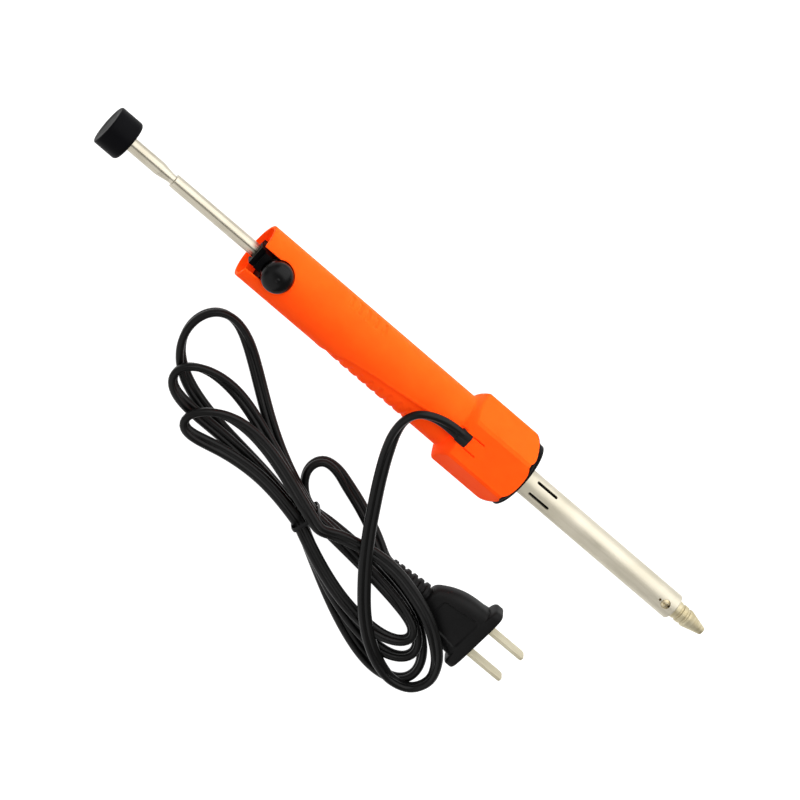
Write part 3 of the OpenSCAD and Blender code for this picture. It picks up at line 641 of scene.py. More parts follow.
@dataclass
class MainsCord:
    """The flat twin lead: free stretch from the collar, tied hank, and short end to the plug."""

    width: float = 5.4
    thick: float = 3.2
    exit: Point = (-15.5, 0.0, 29.3)
    inside: float = 4.8
    length: float = 1300.0
    plug_at: Point = (7.5, -62.6, 7.3)
    hank_at: Pair = (-31.4, -69.2)
    hank_turn: float = 165.0
    loops: int = 3
    upper_len: Point = (63, 78, 90)
    upper_half: Point = (7.2, 8.6, 13.8)
    upper_fan: Point = (-14.4, -6.4, 7.2)
    lower_len: Point = (64.4, 71.8, 81)
    lower_half: Point = (7.8, 10, 12.8)
    lower_fan: Point = (6.6, 2.7, -2.1)
    upper_power: float = 2.0
    lower_power: float = 1.0
    settle_run: float = 55.0
    lift_run: float = 25.0
    tie_lift: float = 0.8
    layer_step: float = 3.9
    waist_off: float = 3.1
    loop_steps: int = 72
    curve_steps: int = 12
    lobe_points: int = 15
    step: float = 1.3
    smooth: float = 2.0
    straight_over: float = 60.0
    edge_under: float = 20.0
    twist_run: float = 9.0
    edge_lift: Pair = (0.8, 1.2)  # of a strand on edge: its own, and for each layer below
    most_lift: float = 6.0
    floor_gap: float = 0.05
    sleeve_wall: tuple[Pair, ...] = ((0.2, 0.02), (0.2, 0.2), (0.5, 0.32), (4.9, 0.32), (4.9, 0.02))
    tie_width: float = 1.8
    tie_thick: float = 0.6
    tie_slack: Point = (0.4, 0.1, 0.6)  # beside, below and above the bundle
    lead_mid: np.ndarray = field(default_factory=lambda: np.array([
        [-28, -1.3, 30.2], [-32.8, -3.9, 30.6], [-34.8, -8.6, 29.8], [-33.9, -15.1, 27.6], [-30.2, -23.8, 25],
        [-24.5, -34.2, 22.6], [-17.9, -44.9, 20.6], [-11.2, -55.3, 19.4], [-4, -65.2, 18.6], [4.1, -74.9, 17],
        [12.3, -83.3, 15], [21.5, -90.4, 12.6], [31.4, -95.5, 9.8], [41, -97.6, 7.2], [48.5, -95.4, 6],
        [51.3, -89, 7.2], [48.1, -80.8, 10.6], [40.3, -73.1, 14.2], [30.4, -67.1, 15.4], [19.6, -63.4, 15.4],
        [8.6, -61.1, 15.2], [-1.3, -61.1, 15], [-9.1, -62.5, 14.8], [-16, -64.3, 14.5],
        [-21.2, -66.3, 14.2]]))
    tail_mid: np.ndarray = field(default_factory=lambda: np.array([
        [-36.8, -63.4, 2.1], [-40, -60.2, 1.9], [-42.3, -56.4, 1.8], [-42.6, -52.4, 1.8], [-40.3, -48.5, 1.8],
        [-34.8, -47.8, 1.8], [-26, -50.2, 1.8], [-16.8, -53.1, 2.2], [-8.9, -56.1, 3.4], [-2.8, -58.8, 5.0],
        [1.8, -61.2, 6.6]]))

    def loop(self, k: int) -> np.ndarray:
        """Lay one loop of the hank.

        With a the angle round the loop, along = reach sin a and across = (waist + swell |sin a|^power)
        cos a, turned by fan sin^2 a; the height is that of the loop's layer, raised at the tie.

        Args:
            k: Number of the loop in laying order.

        Returns:
            Rows of (along, across, up, layer) in the hank's own axes.
        """
        a = np.arange(self.loop_steps) * 360 / self.loop_steps
        up, rank = a <= 180, self.loops - 1 - k
        s, c = np.sin(np.radians(a)), np.cos(np.radians(a))
        reach = np.where(up, self.upper_len[k], self.lower_len[k])
        half = np.where(up, self.upper_half[k], self.lower_half[k])
        fan = np.radians(np.where(up, self.upper_fan[k], -self.lower_fan[k])) * s * s
        power = np.where(up, self.upper_power, self.lower_power)
        widest = np.arctan(np.sqrt(power))
        swell = (half - self.waist_off * np.cos(widest)) / (np.sin(widest) ** power * np.cos(widest))
        along, across = reach * s, (self.waist_off + swell * np.abs(s) ** power) * c
        layer = rank + np.where(a < 90, ease(1 - (along / self.settle_run) ** 2), 0)
        lift = self.tie_lift * ease(1 - (along / self.lift_run) ** 2)
        height = self.thick / 2 + lift + self.layer_step * layer
        return np.stack([along * np.cos(fan) - across * np.sin(fan),
                         along * np.sin(fan) + across * np.cos(fan), height, layer], -1)

    def from_hank(self, p: np.ndarray) -> np.ndarray:
        """Carry points from the hank's own axes to the frame: turned, mirrored across and moved.

        Args:
            p: Rows that start with (along, across).

        Returns:
            The rows, which now start with (x, y).
        """
        t = math.radians(self.hank_turn)
        x = self.hank_at[0] + p[..., 0] * math.cos(t) + p[..., 1] * math.sin(t)
        y = self.hank_at[1] + p[..., 0] * math.sin(t) - p[..., 1] * math.cos(t)
        return np.concatenate([np.stack([x, y], -1), p[..., 2:]], -1)

    def corners(self) -> np.ndarray:
        """List the points that the cord's middle passes, from the collar to the plug.

        Returns:
            Rows of (x, y, z, layer).
        """
        w, off = self.width, self.waist_off
        low = self.thick / 2 + self.tie_lift
        top = low + self.loops * self.layer_step
        loops = np.concatenate([self.loop(k) for k in range(self.loops)])
        hank = np.concatenate([[[-w, off, top, self.loops]], loops, [[0, off, low, 0], [w / 2, off, low, 0]]])
        start, plug = np.array(self.exit), np.array(self.plug_at)
        lead = np.concatenate([[start + [self.inside, 0, 0], start, start - [w, 0, 0]], self.lead_mid])
        tail = np.concatenate([self.tail_mid, [plug - [w / 2, 0, 0], plug, plug + [w / 2, 0, 0]]])
        lead, tail = (np.pad(p, ((0, 0), (0, 1))) for p in (lead, tail))
        return np.concatenate([lead, self.from_hank(hank), tail])

    def blurred(self, values: np.ndarray, run: float) -> np.ndarray:
        """Even out values along the route.

        Each row becomes the mean of its neighbours, weighted by exp(-d^2 / 2 run^2) at distance d; the
        ends are carried on mirrored through themselves, so that they stay in place.

        Args:
            values: Rows of values, step apart.
            run: Distance over which they are evened, in millimetres.

        Returns:
            As many rows, smoother.
        """
        reach = int(3 * run / self.step) + 1
        d = np.arange(-reach, reach + 1) * self.step
        weight = np.exp(-d * d / (2 * run * run))
        weight /= weight.sum()
        ahead, behind = 2 * values[:1] - values[reach:0:-1], 2 * values[-1:] - values[-2:-reach - 2:-1]
        long = np.concatenate([ahead, values, behind])
        return np.stack([np.convolve(column, weight, "valid") for column in long.T], -1)

    def route(self) -> np.ndarray:
        """Run one smooth curve through the points and space it evenly.

        Between two points p1 and p2 the curve is the cubic whose slopes there are those of the
        three-point differences, weighted by the distances to the neighbours.

        Returns:
            Rows of (x, y, z, layer) along the cord's middle, step apart.
        """
        p = self.corners()
        p = p[np.concatenate([[True], steps_along(p) > WELD])]
        h = steps_along(p)[:, None]
        d = np.diff(p, axis=0) / h
        slope = np.concatenate([d[:1], (d[:-1] * h[1:] + d[1:] * h[:-1]) / (h[:-1] + h[1:]), d[-1:]])
        t = np.linspace(0, 1, self.curve_steps, endpoint=False)[None, :, None]
        p1, p2 = p[:-1, None], p[1:, None]
        m1, m2 = slope[:-1, None] * h[:, None], slope[1:, None] * h[:, None]
        curve = ((2 * t ** 3 - 3 * t ** 2 + 1) * p1 + (t ** 3 - 2 * t ** 2 + t) * m1
                 + (3 * t ** 2 - 2 * t ** 3) * p2 + (t ** 3 - t ** 2) * m2).reshape(-1, p.shape[1])
        curve = np.concatenate([curve, p[-1:]])
        run = np.concatenate([[0], np.cumsum(steps_along(curve))])
        even = np.linspace(0, run[-1], int(run[-1] / self.step) + 1)
        return self.blurred(np.stack([np.interp(even, run, c) for c in curve.T], -1), self.smooth)

    def rolled(self, route: np.ndarray) -> tuple[np.ndarray, np.ndarray, np.ndarray]:
        """Let the flat cord lie flat on straight runs and stand on edge in the folds.

        The roll is 90 degrees times an eased share of the plan's curvature, evened along the cord. On
        edge a strand is taller by (width - thick), so it and the layers below it lift the middle.

        Args:
            route: Rows of (x, y, z, layer).

        Returns:
            The middle, the section's wide way and its thin way at each point.
        """
        plan = np.gradient(route[:, :2], axis=0)
        bend = np.abs(np.gradient(np.unwrap(np.arctan2(plan[:, 1], plan[:, 0])))) / self.step
        low, high = 1 / self.straight_over, 1 / self.edge_under
        roll = math.pi / 2 * self.blurred(ease((bend - low) / (high - low))[:, None], self.twist_run)
        middle = route[:, :3].copy()
        tall = (self.width - self.thick) / 2 * np.sin(roll[:, 0])
        own, each = self.edge_lift
        middle[:, 2] += np.minimum(tall * (own + each * route[:, 3]), self.most_lift)
        middle[:, 2] = np.maximum(middle[:, 2], self.thick / 2 + tall + self.floor_gap)
        ahead = unit(np.gradient(middle, axis=0))
        side = unit(np.cross(ahead, [0, 0, 1]))
        up = np.cross(side, ahead)
        return middle, np.cos(roll) * side + np.sin(roll) * up, np.cos(roll) * up - np.sin(roll) * side

    def section(self, grow: float = 0.0) -> np.ndarray:
        """Outline the twin cord: two touching round lobes, each an arc of the thickness's radius.

        Args:
            grow: Distance by which the outline is enlarged.

        Returns:
            Rows of (across, up), closed.
        """
        r, off = self.thick / 2 + grow, (self.width - self.thick) / 2
        end = math.acos(-off / r)
        a = np.linspace(-end, end, self.lobe_points)[:-1]
        right = np.stack([off + r * np.cos(a), r * np.sin(a)], -1)
        return np.concatenate([right, -right])

    def sleeve(self) -> bpy.types.Object:
        """Make the rubber sleeve in the collar's notch: the cord's outline, a little larger, with a wall.

        Returns:
            The sleeve.
        """
        ring = np.stack([self.section(grow) for _, grow in self.sleeve_wall])
        x = self.exit[0] + np.array(self.sleeve_wall)[:, :1] + 0 * ring[..., 0]
        grid = np.stack([x, ring[..., 0], self.exit[2] + ring[..., 1]], -1)
        return make_piece("cord_sleeve", torus(grid), RUBBER, "cord_gland")

    def tie(self) -> bpy.types.Object:
        """Make the tie: a flat band, round at its edges, carried round the waist's rounded rectangle.

        The path is |u|^6 + |v|^6 = 1, scaled to the bundle's half width and half height.

        Returns:
            The tie.
        """
        beside, below, above = self.tie_slack
        low = self.tie_lift - self.tie_thick + below
        high = self.thick + self.tie_lift + self.loops * self.layer_step + above
        a, b = around(96)[:, None], around(12)[None, :]
        out = self.tie_thick / 2 * np.sin(b)
        wide = self.tie_width / 2 * signed_power(np.cos(b), 1 / 2)
        across = (self.waist_off + self.width / 2 + beside + out) * signed_power(np.cos(a), 1 / 3)
        up = (high + low) / 2 + ((high - low) / 2 + out) * signed_power(np.sin(a), 1 / 3)
        grid = self.from_hank(np.stack([wide + 0 * across, across, np.maximum(up, self.floor_gap)], -1))
        return make_piece("tie_band", torus(grid), TIE_BLACK, "cord_tie")

    def build(self, plug: list[bpy.types.Object]) -> None:
        """Args:
            plug: Pieces on the cord's far end; not used.
        """
        middle, side, up = self.rolled(self.route())
        out = self.section()
        grid = middle[:, None] + out[None, :, :1] * side[:, None] + out[None, :, 1:] * up[:, None]
        cord = make_piece("mains_cord", capped(grid), CORD_PVC, "cord_lead", "cord_hank", "cord_tail",
                          sharp=50.0)
        self.tie()
        self.sleeve()


@dataclass
class Barrel:
    """The orange barrel: slotted at the rear for the button, scooped and grooved for the fingers."""

    rear: float = -119.5
    front: float = -4.5
    radius: float = 12.1
    bore: float = 10.1
    mouth_bore: float = 10.8
    mouth_end: float = -116.6
    slot_half: float = 5.8
    seat_x: float = -108.5
    seat_r: float = 6.65
    slot_edge: float = 0.35
    edge_run: float = 1.5
    rim_edge: float = 0.5
    rim_steps: tuple[float, ...] = (0, 0.05, 0.15, 0.3, 0.5, 0.8)
    edge_steps: tuple[float, ...] = (0, 0.05, 0.12, 0.22, 0.35, 0.55)
    columns: int = 280
    seat_rows: int = 26
    slot_rows: int = 5
    slot_margin: Pair = (0.9, 0.7)
    mouth_step: float = 0.05
    plain_rows: tuple[int, int, int] = (14, 17, 10)  # behind the grip, before it and in the bore
    fine_x: Pair = (-84, -24)
    fine_step: float = 0.33
    scoop_line: tuple[Pair, ...] = (  # place along the barrel, and the line's angle from the top
        (-79, 90), (-76.5, 78), (-74.3, 63.9), (-69.9, 46), (-64.9, 36), (-59.4, 29.9), (-53.8, 24.4),
        (-47.9, 21.1), (-42.1, 17.2), (-36.4, 13.1), (-30.6, 9.4), (-20, 6), (-4.5, 5))
    scoop_depth: float = 1.0
    scoop_wall: float = 0.55
    scoop_fade: float = 9.5
    lip: float = 0.12
    lip_off: float = 0.7
    lip_half: float = 0.5
    lip_run: float = 8.0
    groove_half: float = 1.35
    finger_row: tuple[float, int, float] = (-34.6, 8, 4.57)  # foremost groove, count and pitch
    finger_depth: float = 0.48
    finger_in: float = 3.2
    finger_run: float = 1.8
    thumb_row: tuple[float, int, float] = (-62.5, 5, 4.2)
    thumb_depth: float = 0.6
    thumb_angle: float = 298.0
    thumb_reach: float = 17.0
    thumb_run: float = 5.0

    def grooves(self, x: np.ndarray, first: float, count: int, pitch: float) -> np.ndarray:
        """Give a row of grooves: cos^2 across each, 1 at its middle and 0 from groove_half on."""
        nearest = np.clip(np.round((first - x) / pitch), 0, count - 1)
        return np.cos(np.clip((x - first + pitch * nearest) / self.groove_half, -1, 1) * math.pi / 2) ** 2

    def skin(self, x: np.ndarray, angle: np.ndarray) -> np.ndarray:
        """Give the barrel's outer radius.

        The scoop covers the angles within its half width of the -Y side; its edge is an eased step with
        a low lip outside it. Its floor comes back to the barrel's round over scoop_fade, where the
        finger grooves start.

        Args:
            x: Places along the barrel.
            angle: Angles from the top, in radians.

        Returns:
            The radius at each place.
        """
        deg = np.degrees(angle) % 360
        width = 90 - np.interp(x, *zip(*self.scoop_line))
        inside = np.radians(width - np.abs(deg - 90)) * self.radius
        cut = self.scoop_depth * ease(inside / self.scoop_wall) * (1 - ease(inside / self.scoop_fade))
        lip = self.lip * np.exp(-((inside + self.lip_off) / self.lip_half) ** 2) * ease(width / self.lip_run)
        fingers = self.grooves(x, *self.finger_row) * ease((inside - self.finger_in) / self.finger_run)
        turn = np.abs((deg - self.thumb_angle + 180) % 360 - 180)
        thumb = self.grooves(x, *self.thumb_row) * ease((self.thumb_reach - turn) / self.thumb_run)
        return self.radius - (cut - lip) - self.finger_depth * fingers - self.thumb_depth * thumb

    def half_slot(self, x: np.ndarray) -> np.ndarray:
        """Give half the slot's width: straight behind the button, a round seat under it, 0 in front."""
        straight = np.where(x < self.seat_x, self.slot_half, 0.0)
        return np.maximum(straight, half_round(x - self.seat_x, self.seat_r))

    def angles(self, x: np.ndarray, r: float) -> np.ndarray:
        """Spread the columns round the barrel, from one edge of the slot to the other.

        Args:
            x: Places of the rows.
            r: Radius on which the slot's edges lie.

        Returns:
            Angles as an array of (rows, columns), close together at the edges.
        """
        edge = np.arcsin(self.half_slot(x) / r)[:, None] + np.array(self.edge_steps) / r
        t = np.linspace(0, 1, self.columns)[1:-1]
        middle = edge[:, -1:] + (TURN - 2 * edge[:, -1:]) * t
        return np.concatenate([edge, middle, TURN - edge[:, ::-1]], 1)

    def build(self) -> None:
        """Make the barrel: outer skin, bore, rims and the slot's two side walls, welded to one shell."""
        seat_front = self.seat_x + self.seat_r
        bulge = -math.acos(self.slot_half / self.seat_r)
        seat = self.seat_x + self.seat_r * np.sin(np.linspace(bulge, math.pi / 2, self.seat_rows))
        mouth = self.mouth_end + np.array([-1, 1]) * self.mouth_step
        after, before = self.slot_margin
        back_rows, front_rows, bore_rows = self.plain_rows
        slot_x = np.concatenate([self.rear + np.array(self.rim_steps), mouth,
                                 np.linspace(self.mouth_end + after, seat[0] - before, self.slot_rows), seat])
        fine = np.arange(*self.fine_x, self.fine_step)
        skin_x = np.concatenate([slot_x, np.linspace(seat_front, fine[0], back_rows)[1:-1], fine,
                                 np.linspace(self.fine_x[1], self.front, front_rows)])
        angle = self.angles(skin_x, self.radius)
        x = skin_x[:, None]
        from_slot = (np.minimum(angle, TURN - angle) - angle[:, :1]) * self.radius
        rounding = np.maximum(edge_drop(from_slot, self.slot_edge) * ease(self.half_slot(x) / self.edge_run),
                              edge_drop(x - self.rear, self.rim_edge))
        outer = round_axis(x, self.skin(x, angle) - rounding, angle)
        bore_x = np.concatenate([slot_x, np.linspace(seat_front, self.front, bore_rows)[1:]])
        bore_r = np.where(bore_x < self.mouth_end, self.mouth_bore, self.bore)[:, None]
        inner = round_axis(bore_x[:, None], bore_r, self.angles(bore_x, self.bore))
        rims = [np.stack([outer[i], inner[i]]) for i in (0, -1)]
        rows = len(slot_x)
        walls = [np.stack([outer[:rows, j], inner[:rows, j]], 1) for j in (0, -1)]
        shell = joined(*(grid_surface(grid) for grid in (outer, inner, *rims, *walls)))
        make_piece("barrel_shell", shell, ORANGE, "barrel", sharp=40.0)


@dataclass
class Collar:
    """The six-sided collar that joins barrel and heater, and the black heat shield in its front."""

    barrel: Barrel
    rear: float = -16.5
    front: float = 16.5
    face: float = 17.3
    flat: float = 15.2
    corner: float = 17.05
    lean: float = 3.0
    shoulder: float = 3.0
    shoulder_r: float = 17.0
    shoulder_low: float = 0.6
    shoulder_soft: Pair = (1.2, 1.0)  # rounding at the hexagon and at the barrel
    shoulder_reach: float = 6.0
    rim_x: Pair = (12.6, 16.6)
    rim_r: Pair = (17.5, 14.6)
    notch_x: float = -10.5
    notch_floor: float = 12.3
    slit_x: float = -4.8
    slit_depth: float = 2.4
    step: float = 0.01
    under: float = 0.08
    tuck: float = 0.2
    tube_hole: float = 5.54
    face_r: float = 14.3
    pipe_hole: float = 5.2
    web_back: float = 12.5
    hollow_r: float = 11.0
    barrel_stop: float = -4.4
    barrel_hole: float = 11.5
    shoulder_rows: Pair = (-12.9, 0.18)  # where they end, and their pitch
    strip_plain: tuple[float, ...] = (0, 0.7, 1.4, 2.1, 2.64, 2.67, 3.21, 3.24, 3.4)
    strip_cut: tuple[float, ...] = (0, 0.75, 1.5, 2.25, 2.95, 2.95, 2.95, 3.05, 3.3)
    strip_share: tuple[float, ...] = (0, 0, 0, 0, 0, 0.5, 0.94, 1, 1)
    strip_sunk: tuple[float, ...] = (0, 0, 0, 0, 0, 1, 1, 0, 0)
    strip_deg: Pair = (14.0, 346.5)
    column_deg: float = 1.5
    pair_deg: float = 0.12

    def hexagon(self, angle: np.ndarray) -> np.ndarray:
        """Give the hexagon's radius: flat / cos f off a face's middle, corners at corner / cos(30 - |f|)."""
        off = np.abs((angle + math.pi / 6) % (math.pi / 3) - math.pi / 6)
        return np.minimum(self.flat / np.cos(off), self.corner / np.cos(math.pi / 6 - off))

    def rim_back(self, angle: np.ndarray) -> np.ndarray:
        """Give how much further back the shield's rim starts: lean (1 - cos a), down to the sides."""
        return self.lean * np.minimum(1 - np.cos(angle), 1)

    def cap(self, x: np.ndarray, angle: np.ndarray) -> np.ndarray:
        """Give the shield's rounded rim: an ellipse's quarter over rim_x, from one rim_r to the other.

        Args:
            x: Places along the collar.
            angle: Angles from the top, in radians.

        Returns:
            The radius at each place.
        """
        (x0, x1), (r0, r1) = self.rim_x, self.rim_r
        share = (x - x0 + self.rim_back(angle)) / (x1 - x0)
        return r1 + (r0 - r1) * half_round(np.clip(share, 0, 1), 1) + np.clip(-share, 0, None)

    def skin(self, x: np.ndarray, angle: np.ndarray) -> np.ndarray:
        """Give the collar's outer radius.

        The hexagon is cut by the cone of the rear shoulder, which runs into the barrel in a fillet, and
        in front by the heat shield, under which it dives.

        Args:
            x: Places along the collar.
            angle: Angles from the top, in radians.

        Returns:
            The radius at each place.
        """
        base = self.barrel.skin(x, angle)
        rise = (x - self.rear) / self.shoulder
        low = self.shoulder_low
        cone = base - low + (self.shoulder_r - self.barrel.radius + low) * rise
        body = soft_min(self.hexagon(angle), cone, self.shoulder_soft[0])
        filled = soft_max(body, base - 0.05, self.shoulder_soft[1])
        body = np.where(x < self.rear + self.shoulder_reach, filled, body)
        return np.minimum(body, self.cap(x + self.tuck, angle) - self.under)

    def side_angles(self) -> np.ndarray:
        """List the angles of the columns away from the notch, with pairs at the planed corners' edges.

        Returns:
            The angles, in radians.
        """
        edge = math.degrees(math.atan((self.corner / self.flat - math.cos(math.pi / 6)) * 2))
        ends = (edge - self.pair_deg, edge + self.pair_deg)
        pairs = [60 * k + e for k in range(6) for end in ends for e in (end, 60 - end)]
        return np.radians(np.unique(np.concatenate([np.arange(*self.strip_deg, self.column_deg), pairs])))

    def build(self) -> None:
        """Make the collar: one grid with a strip of extra columns for the notch and the slits on top.

        Rows that follow each other by step make the ends of the notch and of the slits. In the strip,
        plain and cut are the columns' places off and in the notch, share lifts the notch's wall and sunk
        lowers the slits.
        """
        end, pitch = self.shoulder_rows
        rows = np.concatenate([
            np.arange(self.rear, end, pitch), np.linspace(end + 0.3, self.notch_x, 6),
            [self.notch_x + self.step], np.linspace(self.notch_x + 1, self.slit_x, 5),
            [self.slit_x + self.step], np.linspace(self.slit_x + 1, self.rim_x[0] - 0.2, 24),
            np.linspace(self.rim_x[0], self.front, 60)])
        plain, cut, share = (np.array(v) for v in (self.strip_plain, self.strip_cut, self.strip_share))
        sunk = np.array(self.strip_sunk) * self.slit_depth
        x = rows[:, None]
        notched, slit = x <= self.notch_x, (x > self.notch_x) & (x <= self.slit_x)
        y = np.where(notched, cut, plain)
        r = self.skin(x, np.arcsin(y / self.skin(x, np.zeros((1, 1)))))
        top = np.sqrt(r * r - y * y)
        floor = np.minimum(self.notch_floor, top)
        top = np.where(notched, floor + (top - floor) * share, top - np.where(slit, sunk, 0))
        strip = np.stack([x + 0 * y, -y, AXIS_H + top], -1)
        mirror = strip[:, :0:-1] * [1, -1, 1]
        angle = self.side_angles()
        side = round_axis(x, self.skin(x, angle[None, :]), angle)
        wide = np.arcsin(plain / self.flat)
        turn = np.concatenate([wide, angle, TURN - wide[:0:-1]])
        inner = np.array([
            (self.front, self.face_r), (self.front, self.pipe_hole), (self.web_back, self.pipe_hole),
            (self.web_back, self.hollow_r), (self.barrel_stop, self.hollow_r),
            (self.barrel_stop, self.barrel_hole), (self.rear, self.barrel_hole)])
        lining = round_axis(inner[:, :1], inner[:, 1:], turn)
        outer = np.concatenate([strip, side, mirror], 1)
        make_piece("collar_shell", torus(np.concatenate([outer, lining])), ORANGE, "collar", sharp=14.0)

    def shield(self) -> None:
        """Make the heat shield: its rim shows where the hexagon's corners have been cut away by it."""
        angle = np.radians(np.arange(0, 360, 1.0))[None, :]
        (x0, x1), (r0, r1), face = self.rim_x, self.rim_r, self.face
        t = np.linspace(0, math.pi / 2, 48)[:, None]
        x = x0 - self.rim_back(angle) + (x1 - x0) * np.sin(t)
        rim = np.minimum(r1 + (r0 - r1) * np.cos(t), self.hexagon(angle) - self.under)
        rest = np.array([(x1 + 0.4, 14.55), (face - 0.2, 14.4), (face, 14.1), (face, 7.6), (face - 0.15, 7.4),
                         (face - 0.15, self.tube_hole), (x1, self.tube_hole), (x1, self.face_r)])
        grid = np.concatenate([round_axis(x, rim, angle), round_axis(rest[:, :1], rest[:, 1:], angle)])
        make_piece("heat_shield", torus(grid), BLACK, "front_disc", sharp=35.0)


@dataclass
class Plunger:
    """The pushed part: a black knob on a plated rod with a waisted neck."""

    knob_x: Pair = (-193.5, -182.7)
    knob_r: float = 8.5
    knob_edge: float = 1.6
    socket: float = -190.7
    socket_r: float = 2.84
    rod_r: float = 2.8
    rod_bore: float = 1.5
    neck_start: float = -167.6
    neck_x: float = -160.7
    neck_r: float = 1.95
    rod_end: float = -93.2

    def build(self) -> None:
        """Make the knob and the rod, turned from filleted outlines."""
        (k0, k1), r, edge, deep = self.knob_x, self.knob_r, self.knob_edge, self.socket
        knob = filleted([
            (k0 + 0.35, 0, 0), (k0 + 0.3, 4.5, 6), (k0, 7.0, 2), (k0, r, edge), (k1, r, edge), (k1, 4.1, 0.4),
            (k1 + 0.3, 3.8, 0.2), (k1 + 0.3, self.socket_r, 0), (deep, self.socket_r, 0), (deep, 0, 0)])
        make_piece("push_knob", turned(knob), KNOB_BLACK, "plunger_knob", body=Body.PLUNGER)
        start, end, r, bore = self.socket + 0.05, self.rod_end, self.rod_r, self.rod_bore
        rod = filleted([
            (start, bore, 0), (start, r, 0.2), (self.neck_start, r, 3), (self.neck_x - 1.6, self.neck_r, 3),
            (self.neck_x - 0.1, self.neck_r, 0.1), (self.neck_x, r, 0.25), (end, r, 0.2), (end, bore, 0)])
        make_piece("push_rod", turned(rod, loop=True), NICKEL, "plunger_rod", body=Body.PLUNGER)


@dataclass
class Latch:
    """The button that lets the plunger go."""

    at: Point = (-108.5, 0.0, 25.7)
    radius: float = 6.35
    height: float = 6.4
    tip_r: float = 0.9
    dome_low: float = 2.0
    stem_r: float = 2.5
    stem_low: float = -3.5

    def build(self) -> None:
        """Make the button: a stem, a stepped base ring and a ball-like head with a blunt point."""
        r, top, tip, low = self.radius, self.height, self.tip_r, self.dome_low
        a = np.linspace(0, math.pi / 2, 16)[1:-1]
        dome = [(low + (top - 0.3 - low) * math.sin(t), tip + (r - tip) * math.cos(t), 0) for t in a]
        outline = filleted([
            (self.stem_low, 0, 0), (self.stem_low, self.stem_r, 0.2), (0, self.stem_r, 0),
            (0, r - 0.25, 0.25), (0.85, r - 0.25, 0.1), (0.95, r, 0.2), (low, r, 0.5), *dome,
            (top - 0.3, tip, 0.3), (top - 0.05, tip / 2, 0.3), (top, 0, 0)])
        make_piece("release_button", turned(outline, Axis.UP, self.at, count=80), BUTTON_BLACK,
                   "trigger_button", body=Body.TRIGGER, sharp=40.0)


@dataclass(frozen=True)
class Spring:
    """A wire coil between a seat that stays and a piece that moves."""

    name: str
    node: str
    joint: str
    axis: Axis
    base: Point
    seat: Point
    length: float
    travel: float
    radius: float
    wire: float
    turns: int
    finish: Metal
    end_gap: float = 0.05
    steps: int = 36
    sides: int = 12

    def coil(self) -> Surface:
        """Wind the wire up from its base.

        Turn t has its middle at radius R, angle 2 pi t and height w/2 + g + (L - w - 2 g) t/n, where w is
        the wire, g the end gap, L the length and n the turns. The section is a circle through the radius
        and the axis, drawn in to a point at each end.

        Returns:
            The closed surface.
        """
        row = np.arange(self.turns * self.steps + 1) / self.steps
        t = np.concatenate([row[:1], row, row[-1:]])[:, None]
        half = np.pad(np.full(len(row), self.wire / 2), 1)[:, None]
        rise = self.length - self.wire - 2 * self.end_gap
        a = around(self.sides)
        out = self.radius + half * np.cos(a)
        up = self.wire / 2 + self.end_gap + rise * t / self.turns + half * np.sin(a)
        across, side = out * np.cos(TURN * t), out * np.sin(TURN * t)
        ways = (up, side, -across) if self.axis is Axis.ALONG else (across, side, up)
        return grid_surface(np.stack(ways, -1) + np.array(self.base), wrap_cols=True)

    def build(self) -> None:
        """Make the coil and give it a mesh of its own."""
        coil = make_piece(self.name, self.coil(), self.finish, self.node)
        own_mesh(coil)


